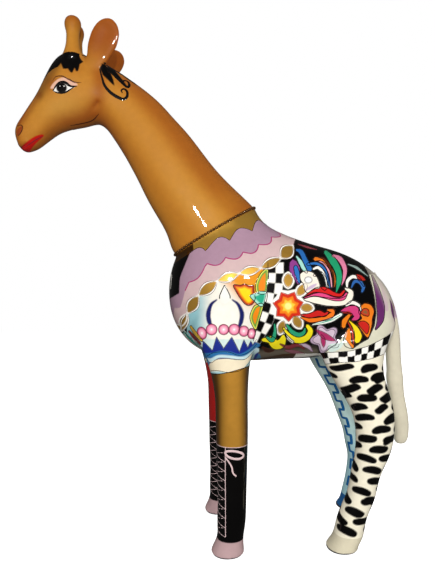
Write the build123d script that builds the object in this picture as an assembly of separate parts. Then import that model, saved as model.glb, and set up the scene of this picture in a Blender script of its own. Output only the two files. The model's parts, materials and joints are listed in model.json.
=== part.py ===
from build123d import *
import math
import os

os.makedirs("parts", exist_ok=True)

# Cast, painted giraffe figure.  Millimetres, +Z up, head toward -X.
# The giraffe's left side is -Y and its right side is +Y.

# ---- driving dimensions ----------------------------------------------------
WALL = 4.5                  # thickness of the hollow castings
SECTION_POINTS = 16         # points on each closed section outline
ROUNDNESS = 2.15            # 2 is an ellipse, more is squarer

BEAD_DIAMETER = 3.1         # bead chain around the foot of the neck
CHAIN_PROUD = 2.2           # how far the chain stands off the skin
CHAIN_GAP = 0.1
LEG_JOINT_Z = 222.0         # legs meet the stubs of the torso here
HOOF_TOP_Z = 19.0
PAD_THICKNESS = 1.2
PAD_INSET = 2.0

ROD_RADIUS = 4.0            # steel leg rods and neck rod
ROD_FOOT_Z = 6.0
ROD_TOP_Z = 286.0
PIN_RADIUS = 1.5            # ear, ossicone and tail pins
GLUE_GAP = 0.15             # room for adhesive around rods, plugs and pins

BLOCK_BOTTOM_Z = 264.0      # timber blocks across the shoulders and hips
BLOCK_TOP_Z = 290.0
SPINE_HALF_WIDTH = 14.0
SPINE_TOP_Z = 312.0
COLLAR_REACH = 22.0         # how far the neck collar runs to either side
COLLAR_WALL = 5.0

# Sections as (front x, front z), (back x, back z), half width in Y.
TORSO_SECTIONS = (
    ((-56, 376), (52, 440), 41),
    ((-65, 345), (76, 413), 56),
    ((-65, 308), (101, 402), 67),
    ((-48, 268), (127, 393.5), 71.5),
    ((-12, 242), (151, 387), 72),
    ((46, 232.5), (179, 377.5), 71),
    ((105, 234.5), (206, 362), 68),
    ((150, 239), (230, 338), 62),
    ((188, 251), (241, 310), 52),
    ((210, 260), (241.5, 290), 36),
    ((226, 267), (238, 279), 15),
)
NECK_SECTIONS = (
    ((-56, 376), (52, 440), 41),
    ((-68, 401), (23, 468), 38),
    ((-80, 425), (0, 491), 36),
    ((-94, 449), (-17.5, 512.5), 34),
    ((-106.5, 474), (-34, 534), 32.5),
    ((-119, 498), (-51.5, 554), 31),
    ((-133, 522), (-70, 574), 30),
    ((-144, 538.5), (-85, 588.5), 29.5),
    ((-151, 547.5), (-107, 605.5), 29.5),
    ((-156.5, 552), (-131.5, 622), 29.5),
    ((-161, 554), (-154, 635), 30),
)
HEAD_SECTIONS = (
    ((-161, 554), (-154, 635), 30),
    ((-173, 552), (-176, 643), 30.5),
    ((-187, 548.5), (-197, 647), 30),
    ((-200, 545.5), (-212, 641), 29),
    ((-213, 540.5), (-223, 626.5), 27),
    ((-224, 533), (-233, 606.5), 24),
    ((-233, 525.5), (-242, 589.5), 21),
    ((-242, 518.5), (-252.5, 573.5), 18.5),
    ((-250, 515), (-261, 560), 17),
    ((-256.5, 514), (-267, 550), 15.5),
    ((-262, 516.5), (-269.6, 542), 11.5),
    ((-265.3, 521.5), (-269.4, 536), 6.5),
)
HEAD_CAVITY_SECTIONS = 8    # the muzzle beyond these is solid

# Legs as z, front x, back x, centre distance from the mid-plane, half width.
FORELEG_SECTIONS = (
    (322, -30, 72, 38, 27),
    (286, -35, 62, 42, 27),
    (253, -24, 44, 46.5, 25),
    (236, -16.5, 38.5, 49, 22.5),
    (216, -10.5, 36, 50.5, 20.5),
    (194, -7, 35, 51.5, 19.5),
    (164, -6, 35, 52.5, 19),
    (130, -5, 34.5, 53.5, 18.5),
    (98, -4.5, 33.5, 54.5, 17.5),
    (62, -3.5, 32.5, 55, 16.5),
    (34, -4, 31, 55, 16),
    (20, -4.5, 29, 55, 16),
    (10, -8, 29, 55, 17.5),
    (0, -12, 29.5, 55, 19.5),
)
HINDLEG_SECTIONS = (
    (328, 156, 208, 24, 20),
    (298, 138, 229, 36, 26),
    (268, 129, 226, 43, 26.5),
    (242, 132, 213.5, 48, 24.5),
    (216, 145, 213.5, 50, 22.5),
    (196, 157.5, 219, 51, 21.5),
    (175, 169.5, 224, 52, 20.5),
    (155, 175, 225, 53, 20),
    (134, 176, 222.5, 53.5, 19.5),
    (114, 174, 216, 54, 18.5),
    (96, 169.5, 207, 54.5, 17.5),
    (77, 166, 201, 55, 17),
    (60, 160.5, 196.5, 55, 16.5),
    (42, 152.5, 188.5, 55, 16.5),
    (26, 148, 184.5, 55, 17),
    (14, 144.5, 181, 55, 18),
    (0, 134.5, 176, 55, 20),
)
# The right legs stand in a small stride: z and forward or backward shift.
RIGHT_FORE_SHIFT = ((322, 0), (216, -4), (0, -3.5))
RIGHT_HIND_SHIFT = (
    (328, 0), (242, 3), (196, 4), (175, 4), (155, 7), (134, 14), (114, 23),
    (96, 31), (77, 38.5), (60, 43), (42, 48), (0, 50),
)
# Tail as (inner x, inner z), (outer x, outer z), half width.
TAIL_SECTIONS = (
    ((206, 336), (223, 355), 8),
    ((216, 324), (236, 336), 9),
    ((226, 309), (248, 316), 9),
    ((234, 288), (255, 291), 9),
    ((238.5, 264), (258.5, 265), 8.8),
    ((239.5, 240), (260, 240), 8.6),
    ((240.5, 215), (262.5, 214), 8.6),
    ((242.5, 190), (264.5, 188), 8.7),
    ((246.5, 163), (269, 161), 9),
    ((250.5, 140), (271.6, 138), 9),
    ((251.5, 124), (270.8, 123), 8.6),
    ((252.5, 115), (267.5, 114.5), 7),
    ((255, 112), (264, 112), 4.5),
)
EAR_BASE = Vector(-167, -21, 613)
EAR_TIP = Vector(-137.5, -39, 674.5)
# Ear stations: share of its length, half width, half thickness.
EAR_SECTIONS = (
    (0.0, 11, 6.5), (0.2, 14.2, 5.8), (0.4, 17.4, 5), (0.6, 19, 4.4),
    (0.78, 17.6, 3.8), (0.9, 13.4, 3.1), (0.97, 8, 2.2), (1.0, 3.2, 1.3),
)
EAR_RIGHT_SHIFT = -3.0      # hand-set ears and ossicones are not quite even
OSSICONE_X = -192.5
OSSICONE_Y = 13.0
OSSICONE_RIGHT_RISE = 3.0
# Ossicone profile: height and radius.
OSSICONE_PROFILE = (
    (630, 13.2), (640, 12.4), (650, 9.8), (660, 8.5), (669, 8.7),
    (676, 10.4), (682, 10.6), (687, 8.4), (689.6, 3.5),
)


# ---- helpers -----------------------------------------------------------------
def ring(front, back, half_width, y=0.0, inset=0.0):
    """Closed outline through two mid-line points, in a plane holding the Y axis."""
    start = Vector(front[0], y, front[1])
    end = Vector(back[0], y, back[1])
    centre = (start + end) * 0.5
    along = (end - start).normalized()
    half_length = (end - start).length / 2 - inset
    half_across = half_width - inset
    points = []
    for k in range(SECTION_POINTS):
        angle = 2 * math.pi * k / SECTION_POINTS
        c = math.cos(angle)
        s = math.sin(angle)
        a = math.copysign(abs(c) ** (2 / ROUNDNESS), c) * half_length
        b = math.copysign(abs(s) ** (2 / ROUNDNESS), s) * half_across
        points.append(centre + along * a + Vector(0, b, 0))
    return Wire([Edge.make_spline(points, periodic=True)])


def skin(sections, inset=0.0, y=0.0):
    """Smooth solid through outlines given as front point, back point, half width."""
    return Solid.make_loft([ring(f, b, w, y, inset) for f, b, w in sections])


def shift_at(table, z):
    """Shift at height z, read from a table sorted from the top down."""
    for (z_high, s_high), (z_low, s_low) in zip(table, table[1:]):
        if z >= z_low:
            share = (z - z_low) / (z_high - z_low)
            return s_low + (s_high - s_low) * min(share, 1.0)
    return table[-1][1]


def leg_skin(sections, side, shifts=None):
    """Leg solid; side is -1 for the left legs and +1 for the right ones."""
    outlines = []
    for z, front, back, centre, half in sections:
        dx = shift_at(shifts, z) if shifts else 0.0
        outlines.append(ring((front + dx, z), (back + dx, z), half, side * centre))
    return Solid.make_loft(outlines)


def slab(z_low, z_high):
    """Wide block between two heights, for cutting the legs across."""
    return Pos(0, 0, (z_low + z_high) / 2) * Box(900, 400, z_high - z_low)


def rod(start, end, radius):
    """Straight round bar between two points."""
    direction = end - start
    plane = Plane(origin=start, z_dir=direction.normalized())
    return Solid.make_cylinder(radius, direction.length, plane)


def bent_rod(points, radius):
    """Round bar bent along a smooth path."""
    path = Spline(*points)
    return sweep(Plane(origin=path @ 0, z_dir=path % 0) * Circle(radius), path=path)


def mirrored(shape):
    """The same shape on the other side of the mid-plane."""
    return shape.mirror(Plane.XZ)


# ---- outer skins and cavities --------------------------------------------------
torso_body = skin(TORSO_SECTIONS)
torso_cavity = skin(TORSO_SECTIONS[:-1], inset=WALL)
neck_body = skin(NECK_SECTIONS)
neck_cavity = skin(NECK_SECTIONS, inset=WALL)
head_body = skin(HEAD_SECTIONS)
head_cavity = skin(HEAD_SECTIONS[:HEAD_CAVITY_SECTIONS], inset=WALL)

foreleg_left_skin = leg_skin(FORELEG_SECTIONS, -1)
foreleg_right_skin = leg_skin(FORELEG_SECTIONS, 1, RIGHT_FORE_SHIFT)
hindleg_left_skin = leg_skin(HINDLEG_SECTIONS, -1)
hindleg_right_skin = leg_skin(HINDLEG_SECTIONS, 1, RIGHT_HIND_SHIFT)

# ---- steel rods ----------------------------------------------------------------
fore_foot = Vector(13, -54, ROD_FOOT_Z)
fore_top = Vector(13, -42, ROD_TOP_Z)


def fore_rod(side, dx, radius):
    foot = Vector(fore_foot.X + dx, fore_foot.Y * side, fore_foot.Z)
    top = Vector(fore_top.X, fore_top.Y * side, fore_top.Z)
    return rod(foot, top, radius)


def hind_rod(side, shifts, radius):
    path = []
    for z, x, y in ((ROD_FOOT_Z, 160, 54), (60, 178, 53.5), (100, 190, 52.5),
                    (140, 199, 51), (175, 196, 49.5), (222, 180, 46.5),
                    (ROD_TOP_Z, 180, 42)):
        dx = shift_at(shifts, z) if shifts else 0.0
        path.append((x + dx, y * side, z))
    return bent_rod(path, radius)


BORE = ROD_RADIUS + GLUE_GAP
foreleg_left_rod = fore_rod(1, 0, ROD_RADIUS)
foreleg_right_rod = fore_rod(-1, -3.5, ROD_RADIUS)
hindleg_left_rod = hind_rod(-1, None, ROD_RADIUS)
hindleg_right_rod = hind_rod(1, RIGHT_HIND_SHIFT, ROD_RADIUS)
fore_left_bore = fore_rod(1, 0, BORE)
fore_right_bore = fore_rod(-1, -3.5, BORE)
hind_left_bore = hind_rod(-1, None, BORE)
hind_right_bore = hind_rod(1, RIGHT_HIND_SHIFT, BORE)

neck_rod_foot = Vector(68, 0, 303)
neck_rod_head = Vector(-142, 0, 598)
neck_rod = rod(neck_rod_foot, neck_rod_head, ROD_RADIUS)
neck_rod_bore = rod(neck_rod_foot, neck_rod_head, BORE)

# ---- neck joint: bead chain and collar ------------------------------------------
joint_front, joint_back, joint_half = TORSO_SECTIONS[0]
joint_along = Vector(joint_back[0] - joint_front[0], 0, joint_back[1] - joint_front[1])
joint_centre = Vector(
    (joint_front[0] + joint_back[0]) / 2, 0, (joint_front[1] + joint_back[1]) / 2
)
neck_direction = Vector(-joint_along.Z, 0, joint_along.X).normalized()
chain_outer = Face(ring(joint_front, joint_back, joint_half, inset=-CHAIN_PROUD))
chain_inner = Face(ring(joint_front, joint_back, joint_half, inset=-CHAIN_GAP))
chain_height = neck_direction * BEAD_DIAMETER
neck_bead_chain = Solid.extrude(chain_outer, chain_height) - Solid.extrude(
    chain_inner, chain_height
)

collar_zone = rod(
    joint_centre - neck_direction * COLLAR_REACH,
    joint_centre + neck_direction * COLLAR_REACH,
    90,
)
torso_room = skin(TORSO_SECTIONS[:-1], inset=WALL + GLUE_GAP)
torso_core = skin(TORSO_SECTIONS[:-1], inset=WALL + COLLAR_WALL)
neck_room = skin(NECK_SECTIONS, inset=WALL + GLUE_GAP)
neck_core = skin(NECK_SECTIONS, inset=WALL + COLLAR_WALL)
collar_below = (torso_room & collar_zone) - torso_core
collar_above = (neck_room & collar_zone) - neck_core
neck_collar = collar_below + collar_above

# ---- head joint: solid plug ------------------------------------------------------
plug_zone = Pos(-158, 0, 594) * Box(52, 120, 160)
head_room = skin(HEAD_SECTIONS[:HEAD_CAVITY_SECTIONS], inset=WALL + GLUE_GAP)
head_plug = (neck_room & plug_zone) + (head_room & plug_zone) - neck_rod_bore

# ---- blocks and spine inside the torso ---------------------------------------------
BLOCK_MID_Z = (BLOCK_BOTTOM_Z + BLOCK_TOP_Z) / 2
BLOCK_HEIGHT = BLOCK_TOP_Z - BLOCK_BOTTOM_Z
shoulder_block = Pos(18, 0, BLOCK_MID_Z) * Box(62, 140, BLOCK_HEIGHT) & torso_room
hip_block = Pos(180, 0, BLOCK_MID_Z) * Box(48, 140, BLOCK_HEIGHT) & torso_room
shoulder_block = shoulder_block - fore_left_bore - fore_right_bore
hip_block = hip_block - hind_left_bore - hind_right_bore
spine_bar = Pos(98, 0, (BLOCK_TOP_Z + SPINE_TOP_Z) / 2) * Box(
    204, 2 * SPINE_HALF_WIDTH, SPINE_TOP_Z - BLOCK_TOP_Z
)
spine_bar = spine_bar - neck_rod_bore

# ---- torso halves --------------------------------------------------------------------
stubs = slab(LEG_JOINT_Z, 400)
torso_solid = torso_body
for leg in (foreleg_left_skin, foreleg_right_skin, hindleg_left_skin, hindleg_right_skin):
    torso_solid = torso_solid + (leg & stubs)
torso_hollow = torso_solid - torso_cavity
for bore in (fore_left_bore, fore_right_bore, hind_left_bore, hind_right_bore):
    torso_hollow = torso_hollow - bore
tail_pin_inner = Vector(218, 0, 300)
tail_pin_outer = Vector(247, 0, 303)
tail_pin = rod(tail_pin_inner, tail_pin_outer, PIN_RADIUS * 1.5)
tail_pin_bore = rod(tail_pin_inner, tail_pin_outer, PIN_RADIUS * 1.5 + GLUE_GAP)
torso_hollow = torso_hollow - tail_pin_bore
torso_shell_left = torso_hollow & (Pos(0, -200, 300) * Box(900, 400, 600))
torso_shell_right = torso_hollow & (Pos(0, 200, 300) * Box(900, 400, 600))

# ---- legs, hooves and pads ---------------------------------------------------------------
leg_zone = slab(HOOF_TOP_Z, LEG_JOINT_Z)
hoof_zone = slab(PAD_THICKNESS, HOOF_TOP_Z)
foreleg_left = (foreleg_left_skin & leg_zone) - fore_left_bore
foreleg_right = (foreleg_right_skin & leg_zone) - fore_right_bore
hindleg_left = (hindleg_left_skin & leg_zone) - hind_left_bore
hindleg_right = (hindleg_right_skin & leg_zone) - hind_right_bore
hoof_fore_left = (foreleg_left_skin & hoof_zone) - fore_left_bore
hoof_fore_right = (foreleg_right_skin & hoof_zone) - fore_right_bore
hoof_hind_left = (hindleg_left_skin & hoof_zone) - hind_left_bore
hoof_hind_right = (hindleg_right_skin & hoof_zone) - hind_right_bore


def pad(sections, side, dx):
    """Felt pad under a hoof, set in from its edge."""
    z, front, back, centre, half = sections[-1]
    outline = ring((front + dx, 0), (back + dx, 0), half, side * centre, PAD_INSET)
    return Solid.extrude(Face(outline), Vector(0, 0, PAD_THICKNESS))


pad_fore_left = pad(FORELEG_SECTIONS, -1, 0)
pad_fore_right = pad(FORELEG_SECTIONS, 1, RIGHT_FORE_SHIFT[-1][1])
pad_hind_left = pad(HINDLEG_SECTIONS, -1, 0)
pad_hind_right = pad(HINDLEG_SECTIONS, 1, RIGHT_HIND_SHIFT[-1][1])

# ---- neck and head shells -------------------------------------------------------------------
neck_shell = neck_body - neck_cavity
head_shell = head_body - head_cavity

# ---- ears, ossicones and their pins -------------------------------------------------------------
ear_axis = EAR_TIP - EAR_BASE
ear_wide = ear_axis.cross(Vector(0, 1, 0)).normalized()
ear_thick = ear_axis.cross(ear_wide).normalized()


def ear_outline(share, half_width, half_thickness):
    centre = EAR_BASE + ear_axis * share
    plane = Plane(origin=centre, x_dir=ear_wide, z_dir=ear_axis.normalized())
    points = []
    for k in range(SECTION_POINTS):
        angle = 2 * math.pi * k / SECTION_POINTS
        u = half_width * math.cos(angle)
        v = half_thickness * math.sin(angle)
        points.append(plane.from_local_coords((u, v, 0)))
    return Wire([Edge.make_spline(points, periodic=True)])


head_clearance = skin(HEAD_SECTIONS, inset=-GLUE_GAP)
neck_clearance = skin(NECK_SECTIONS, inset=-GLUE_GAP)
neck_bead_chain = neck_bead_chain - neck_clearance
ear_solid = Solid.make_loft([ear_outline(*row) for row in EAR_SECTIONS])
ear_left = ear_solid - head_clearance - neck_clearance
ear_shifted = Pos(EAR_RIGHT_SHIFT, 0, 0) * mirrored(ear_solid)
ear_right = ear_shifted - head_clearance - neck_clearance

ear_pin_foot = EAR_BASE + ear_axis * 0.02
ear_pin_top = EAR_BASE + ear_axis * 0.42
ear_pin_left = rod(ear_pin_foot, ear_pin_top, PIN_RADIUS)
ear_pin_left_bore = rod(ear_pin_foot, ear_pin_top, PIN_RADIUS + GLUE_GAP)
ear_pin_right = Pos(EAR_RIGHT_SHIFT, 0, 0) * mirrored(ear_pin_left)
ear_pin_right_bore = Pos(EAR_RIGHT_SHIFT, 0, 0) * mirrored(ear_pin_left_bore)
ear_left = ear_left - ear_pin_left_bore
ear_right = ear_right - ear_pin_right_bore

profile_line = Spline(*[(r, 0, z) for z, r in OSSICONE_PROFILE])
top_z = OSSICONE_PROFILE[-1][0] + 0.4
top_radius = OSSICONE_PROFILE[-1][1]
bottom_z = OSSICONE_PROFILE[0][0]
cap_line = Line((top_radius, 0, OSSICONE_PROFILE[-1][0]), (0, 0, top_z))
axis_line = Line((0, 0, top_z), (0, 0, bottom_z))
base_line = Line((0, 0, bottom_z), (OSSICONE_PROFILE[0][1], 0, bottom_z))
ossicone_face = Face(Wire([profile_line, cap_line, axis_line, base_line]))
ossicone_solid = revolve(ossicone_face, axis=Axis.Z)
ossicone_left = Pos(OSSICONE_X, -OSSICONE_Y, 0) * ossicone_solid - head_clearance
ossicone_right = (
    Pos(OSSICONE_X - 2, OSSICONE_Y, OSSICONE_RIGHT_RISE) * ossicone_solid
    - head_clearance
)


def ossicone_pin(side, dx, radius):
    foot = Vector(OSSICONE_X + dx, side * OSSICONE_Y, 632)
    return rod(foot, foot + Vector(0, 0, 30), radius)


ossicone_pin_left = ossicone_pin(-1, 0, PIN_RADIUS)
ossicone_pin_right = ossicone_pin(1, -2, PIN_RADIUS)
ossicone_left_bore = ossicone_pin(-1, 0, PIN_RADIUS + GLUE_GAP)
ossicone_right_bore = ossicone_pin(1, -2, PIN_RADIUS + GLUE_GAP)
ossicone_left = ossicone_left - ossicone_left_bore
ossicone_right = ossicone_right - ossicone_right_bore

pin_bores = (
    ear_pin_left_bore, ear_pin_right_bore, ossicone_left_bore, ossicone_right_bore,
)
for bore in pin_bores:
    head_shell = head_shell - bore
head_plug = head_plug - ear_pin_left_bore - ear_pin_right_bore

# ---- tail -----------------------------------------------------------------------------------------
torso_clearance = skin(TORSO_SECTIONS, inset=-GLUE_GAP)
tail = skin(TAIL_SECTIONS) - torso_clearance - tail_pin_bore

# ---- hand over: origin at the middle of the foot print, one STEP file per piece ----------------------
nodes = {
    "torso_shell_left": torso_shell_left,
    "torso_shell_right": torso_shell_right,
    "neck_shell": neck_shell,
    "head_shell": head_shell,
    "neck_collar": neck_collar,
    "head_plug": head_plug,
    "neck_bead_chain": neck_bead_chain,
    "ear_left": ear_left,
    "ear_right": ear_right,
    "ear_pin_left": ear_pin_left,
    "ear_pin_right": ear_pin_right,
    "ossicone_left": ossicone_left,
    "ossicone_right": ossicone_right,
    "ossicone_pin_left": ossicone_pin_left,
    "ossicone_pin_right": ossicone_pin_right,
    "foreleg_left": foreleg_left,
    "foreleg_right": foreleg_right,
    "hindleg_left": hindleg_left,
    "hindleg_right": hindleg_right,
    "hoof_fore_left": hoof_fore_left,
    "hoof_fore_right": hoof_fore_right,
    "hoof_hind_left": hoof_hind_left,
    "hoof_hind_right": hoof_hind_right,
    "pad_fore_left": pad_fore_left,
    "pad_fore_right": pad_fore_right,
    "pad_hind_left": pad_hind_left,
    "pad_hind_right": pad_hind_right,
    "foreleg_left_rod": foreleg_left_rod,
    "foreleg_right_rod": foreleg_right_rod,
    "hindleg_left_rod": hindleg_left_rod,
    "hindleg_right_rod": hindleg_right_rod,
    "neck_rod": neck_rod,
    "shoulder_block": shoulder_block,
    "hip_block": hip_block,
    "spine_bar": spine_bar,
    "tail": tail,
    "tail_pin": tail_pin,
}
whole = Compound(children=[Part() + shape for shape in nodes.values()]).bounding_box()
recentre = Pos(-(whole.min.X + whole.max.X) / 2, -(whole.min.Y + whole.max.Y) / 2, 0)
for name, shape in nodes.items():
    export_step(recentre * (Part() + shape), f"parts/{name}.step")
print("overall size", whole.size)
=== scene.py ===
import json
import math
import random

import bpy
import bmesh
import numpy as np
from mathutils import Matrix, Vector
from mathutils.bvhtree import BVHTree

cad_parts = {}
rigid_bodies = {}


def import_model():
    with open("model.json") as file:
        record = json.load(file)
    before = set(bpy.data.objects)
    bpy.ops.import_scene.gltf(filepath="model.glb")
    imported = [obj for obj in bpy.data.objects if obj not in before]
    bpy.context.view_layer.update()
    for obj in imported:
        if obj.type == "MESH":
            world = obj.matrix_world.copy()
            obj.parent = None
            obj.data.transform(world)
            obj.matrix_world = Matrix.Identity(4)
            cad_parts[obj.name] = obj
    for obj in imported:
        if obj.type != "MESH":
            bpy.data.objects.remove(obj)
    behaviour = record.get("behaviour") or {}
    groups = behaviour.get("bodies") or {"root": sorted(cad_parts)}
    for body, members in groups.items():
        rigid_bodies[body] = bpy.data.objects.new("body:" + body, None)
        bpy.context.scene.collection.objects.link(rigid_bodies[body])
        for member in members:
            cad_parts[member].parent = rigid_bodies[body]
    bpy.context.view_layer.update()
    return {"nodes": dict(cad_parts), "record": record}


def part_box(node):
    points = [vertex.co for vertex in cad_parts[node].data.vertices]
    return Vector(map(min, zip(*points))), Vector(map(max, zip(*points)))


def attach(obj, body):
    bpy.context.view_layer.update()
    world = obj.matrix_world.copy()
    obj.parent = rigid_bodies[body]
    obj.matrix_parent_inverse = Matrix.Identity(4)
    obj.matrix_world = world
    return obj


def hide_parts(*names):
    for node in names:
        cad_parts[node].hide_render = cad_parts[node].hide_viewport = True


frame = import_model()
random.seed(11)

MM = 0.001
VOXEL = 0.95      # spacing of the painted skin's mesh, in mm

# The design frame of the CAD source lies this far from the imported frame.
pad_low, pad_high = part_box("pad_fore_left")
SHIFT_X = (pad_low[0] + pad_high[0]) / 2 / MM - 8.75

CASTINGS = [
    "torso_shell_left", "torso_shell_right", "neck_shell", "head_shell",
    "ear_left", "ear_right", "ossicone_left", "ossicone_right",
    "foreleg_left", "foreleg_right", "hindleg_left", "hindleg_right",
    "hoof_fore_left", "hoof_fore_right", "hoof_hind_left", "hoof_hind_right", "tail",
]
SLOT_OF = {row["node"]: row["material_slot"] for row in frame["record"]["subparts"]}


def smoothstep(low, high, value):
    t = np.clip((value - low) / (high - low), 0.0, 1.0)
    return t * t * (3 - 2 * t)


def colour(code):
    """Linear colour from a hexadecimal screen colour."""
    parts = [int(code[i:i + 2], 16) / 255 for i in (0, 2, 4)]
    return np.array([p / 12.92 if p <= 0.04045 else ((p + 0.055) / 1.055) ** 2.4 for p in parts])


# ---- the continuous skin, remeshed from the CAD castings ----
def joined_castings():
    bm = bmesh.new()
    labels = []
    for index, name in enumerate(CASTINGS):
        before = len(bm.faces)
        bm.from_mesh(frame["nodes"][name].data)
        labels += [index] * (len(bm.faces) - before)
    mesh = bpy.data.meshes.new("castings")
    bm.to_mesh(mesh)
    bm.free()
    return mesh, labels


cad_mesh, cad_labels = joined_castings()
co = np.empty(len(cad_mesh.vertices) * 3)
cad_mesh.vertices.foreach_get("co", co)
cad_points = co.reshape(-1, 3) / MM
cad_mesh.vertices.foreach_set("co", (cad_points).ravel())
cad_mesh.update()
cad_tree = BVHTree.FromPolygons(
    [tuple(p) for p in cad_points], [tuple(p.vertices) for p in cad_mesh.polygons]
)

skin_object = bpy.data.objects.new("skin_work", cad_mesh.copy())
bpy.context.scene.collection.objects.link(skin_object)
remesh = skin_object.modifiers.new("remesh", "REMESH")
remesh.mode = "VOXEL"
remesh.voxel_size = VOXEL


def baked(obj):
    """The object's mesh with its modifiers applied."""
    graph = bpy.context.evaluated_depsgraph_get()
    return bpy.data.meshes.new_from_object(obj.evaluated_get(graph))


def arrays(mesh):
    points = np.empty(len(mesh.vertices) * 3)
    mesh.vertices.foreach_get("co", points)
    return points.reshape(-1, 3)


def islands(edges, count):
    """Label of the connected island of each vertex."""
    label = np.arange(count)
    while True:
        low = np.minimum(label[edges[:, 0]], label[edges[:, 1]])
        fresh = label.copy()
        np.minimum.at(fresh, edges[:, 0], low)
        np.minimum.at(fresh, edges[:, 1], low)
        fresh = fresh[fresh]
        fresh = fresh[fresh]
        if (fresh == label).all():
            return label
        label = fresh


skin_mesh = baked(skin_object)
P = arrays(skin_mesh)
E = np.empty(len(skin_mesh.edges) * 2, dtype=np.int64)
skin_mesh.edges.foreach_get("vertices", E)
E = E.reshape(-1, 2)
island = islands(E, len(P))
outer = island[np.argmax(P[:, 2])]
keep_vertex = island == outer
Q = np.empty(len(skin_mesh.polygons) * 4, dtype=np.int64)
skin_mesh.polygons.foreach_get("vertices", Q)
Q = Q.reshape(-1, 4)
Q = Q[keep_vertex[Q[:, 0]]]
number = np.cumsum(keep_vertex) - 1
P = P[keep_vertex]
Q = number[Q]
E = number[E[keep_vertex[E[:, 0]]]]
degree = np.bincount(E.ravel(), minlength=len(P)).astype(float)[:, None]
print("skin vertices", len(P))


def relax(points, rounds, weight, subset=None):
    """Moves points toward the mean of their neighbours; weight is per point."""
    edges = E
    ids = None
    if subset is not None:
        ids = np.where(subset)[0]
        near = subset[E[:, 0]] | subset[E[:, 1]]
        edges = E[near]
    for _ in range(rounds):
        total = np.zeros_like(points)
        for axis in range(3):
            total[:, axis] = np.bincount(
                edges[:, 0], points[edges[:, 1], axis], minlength=len(points)
            ) + np.bincount(edges[:, 1], points[edges[:, 0], axis], minlength=len(points))
        if ids is None:
            points = points + weight * (total / degree - points)
        else:
            moved = total[ids] / degree[ids] - points[ids]
            points[ids] += weight[ids] * moved
    return points


def near_zone(points, centre, inner, outer_radius):
    gap = np.linalg.norm(points - np.array(centre), axis=1)
    return 1 - smoothstep(inner, outer_radius, gap)


P = relax(P, 6, 0.5)
# Soft blends where the castings meet: centre, inner radius, outer radius, rounds.
SX = SHIFT_X
BLENDS = (
    ((-22 + SX, 0, 250), 30, 75, 90), ((10 + SX, -42, 268), 30, 62, 150),
    ((10 + SX, 42, 268), 30, 62, 150), ((175 + SX, -40, 270), 42, 80, 150),
    ((175 + SX, 40, 270), 42, 80, 150), ((-167 + SX, -22, 624), 12, 22, 45),
    ((-169 + SX, 22, 624), 12, 22, 45), ((-192 + SX, -13, 643), 11, 20, 40),
    ((-194 + SX, 13, 646), 11, 20, 40), ((236 + SX, 0, 310), 22, 46, 40),
    ((-156 + SX, 0, 594), 45, 62, 60), ((0 + SX, 0, 405), 60, 85, 60),
)
for centre, inner, reach, rounds in BLENDS:
    zone = near_zone(P, centre, inner, reach) * 0.5
    P = relax(P, rounds, zone[:, None], zone > 0)


def face_normals(points, quads):
    d1 = points[quads[:, 2]] - points[quads[:, 0]]
    d2 = points[quads[:, 3]] - points[quads[:, 1]]
    return np.cross(d1, d2)


def vertex_normals(points, quads):
    flat = face_normals(points, quads)
    total = np.zeros_like(points)
    for corner in range(4):
        for axis in range(3):
            total[:, axis] += np.bincount(
                quads[:, corner], flat[:, axis], minlength=len(points)
            )
    return total / np.maximum(np.linalg.norm(total, axis=1), 1e-9)[:, None]


# ---- sculpted details of the head ----
N = vertex_normals(P, Q)


def along_path(points, path):
    """Distance to a polyline, with the share of its length at the nearest point."""
    path = np.array(path, dtype=float)
    best = np.full(len(points), 1e9)
    share = np.zeros(len(points))
    lengths = np.linalg.norm(np.diff(path, axis=0), axis=1)
    total = lengths.sum()
    run = 0.0
    for a, b, length in zip(path, path[1:], lengths):
        e = b - a
        w = points - a
        t = np.clip((w @ e) / max(e @ e, 1e-9), 0, 1)
        gap = np.linalg.norm(w - t[:, None] * e, axis=1)
        closer = gap < best
        best[closer] = gap[closer]
        share[closer] = (run + t[closer] * length) / total
        run += length
    return best, share


def press(path, depth, width, side_limit=None):
    """Presses a soft groove (or raises a ridge, with negative depth) along a path."""
    global P
    for side in (-1, 1):
        own = P[:, 1] * side > (side_limit if side_limit is not None else -2)
        line = [(x + SX, side * y, z) for x, y, z in path]
        gap, _ = along_path(P[own], line)
        fall = np.exp(-(gap / width) ** 2) * depth
        P[own] -= N[own] * fall[:, None]


# Cheek mound, brow, eyeball, jaw crease, mouth and nostril, at x, distance from the
# mid-plane, z.
press([(-176, 27, 584)], -2.2, 15)
press([(-218, 22, 604), (-206, 24, 607), (-190, 27, 603)], -1.6, 5)
press([(-204, 26, 590)], -1.2, 6)
press([(-197, 26, 555), (-176, 24, 553), (-165, 24, 561), (-158, 25, 572)], 1.9, 3.6)
press([(-263, 3, 517), (-255, 12, 518), (-244, 16, 524), (-231, 18, 531)], 1.5, 1.5)
press([(-263, 9, 541), (-260, 12, 537), (-258, 13, 534)], 1.6, 2.0)
press([(-262, 4, 523), (-252, 13, 524)], -1.0, 3.2)

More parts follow.
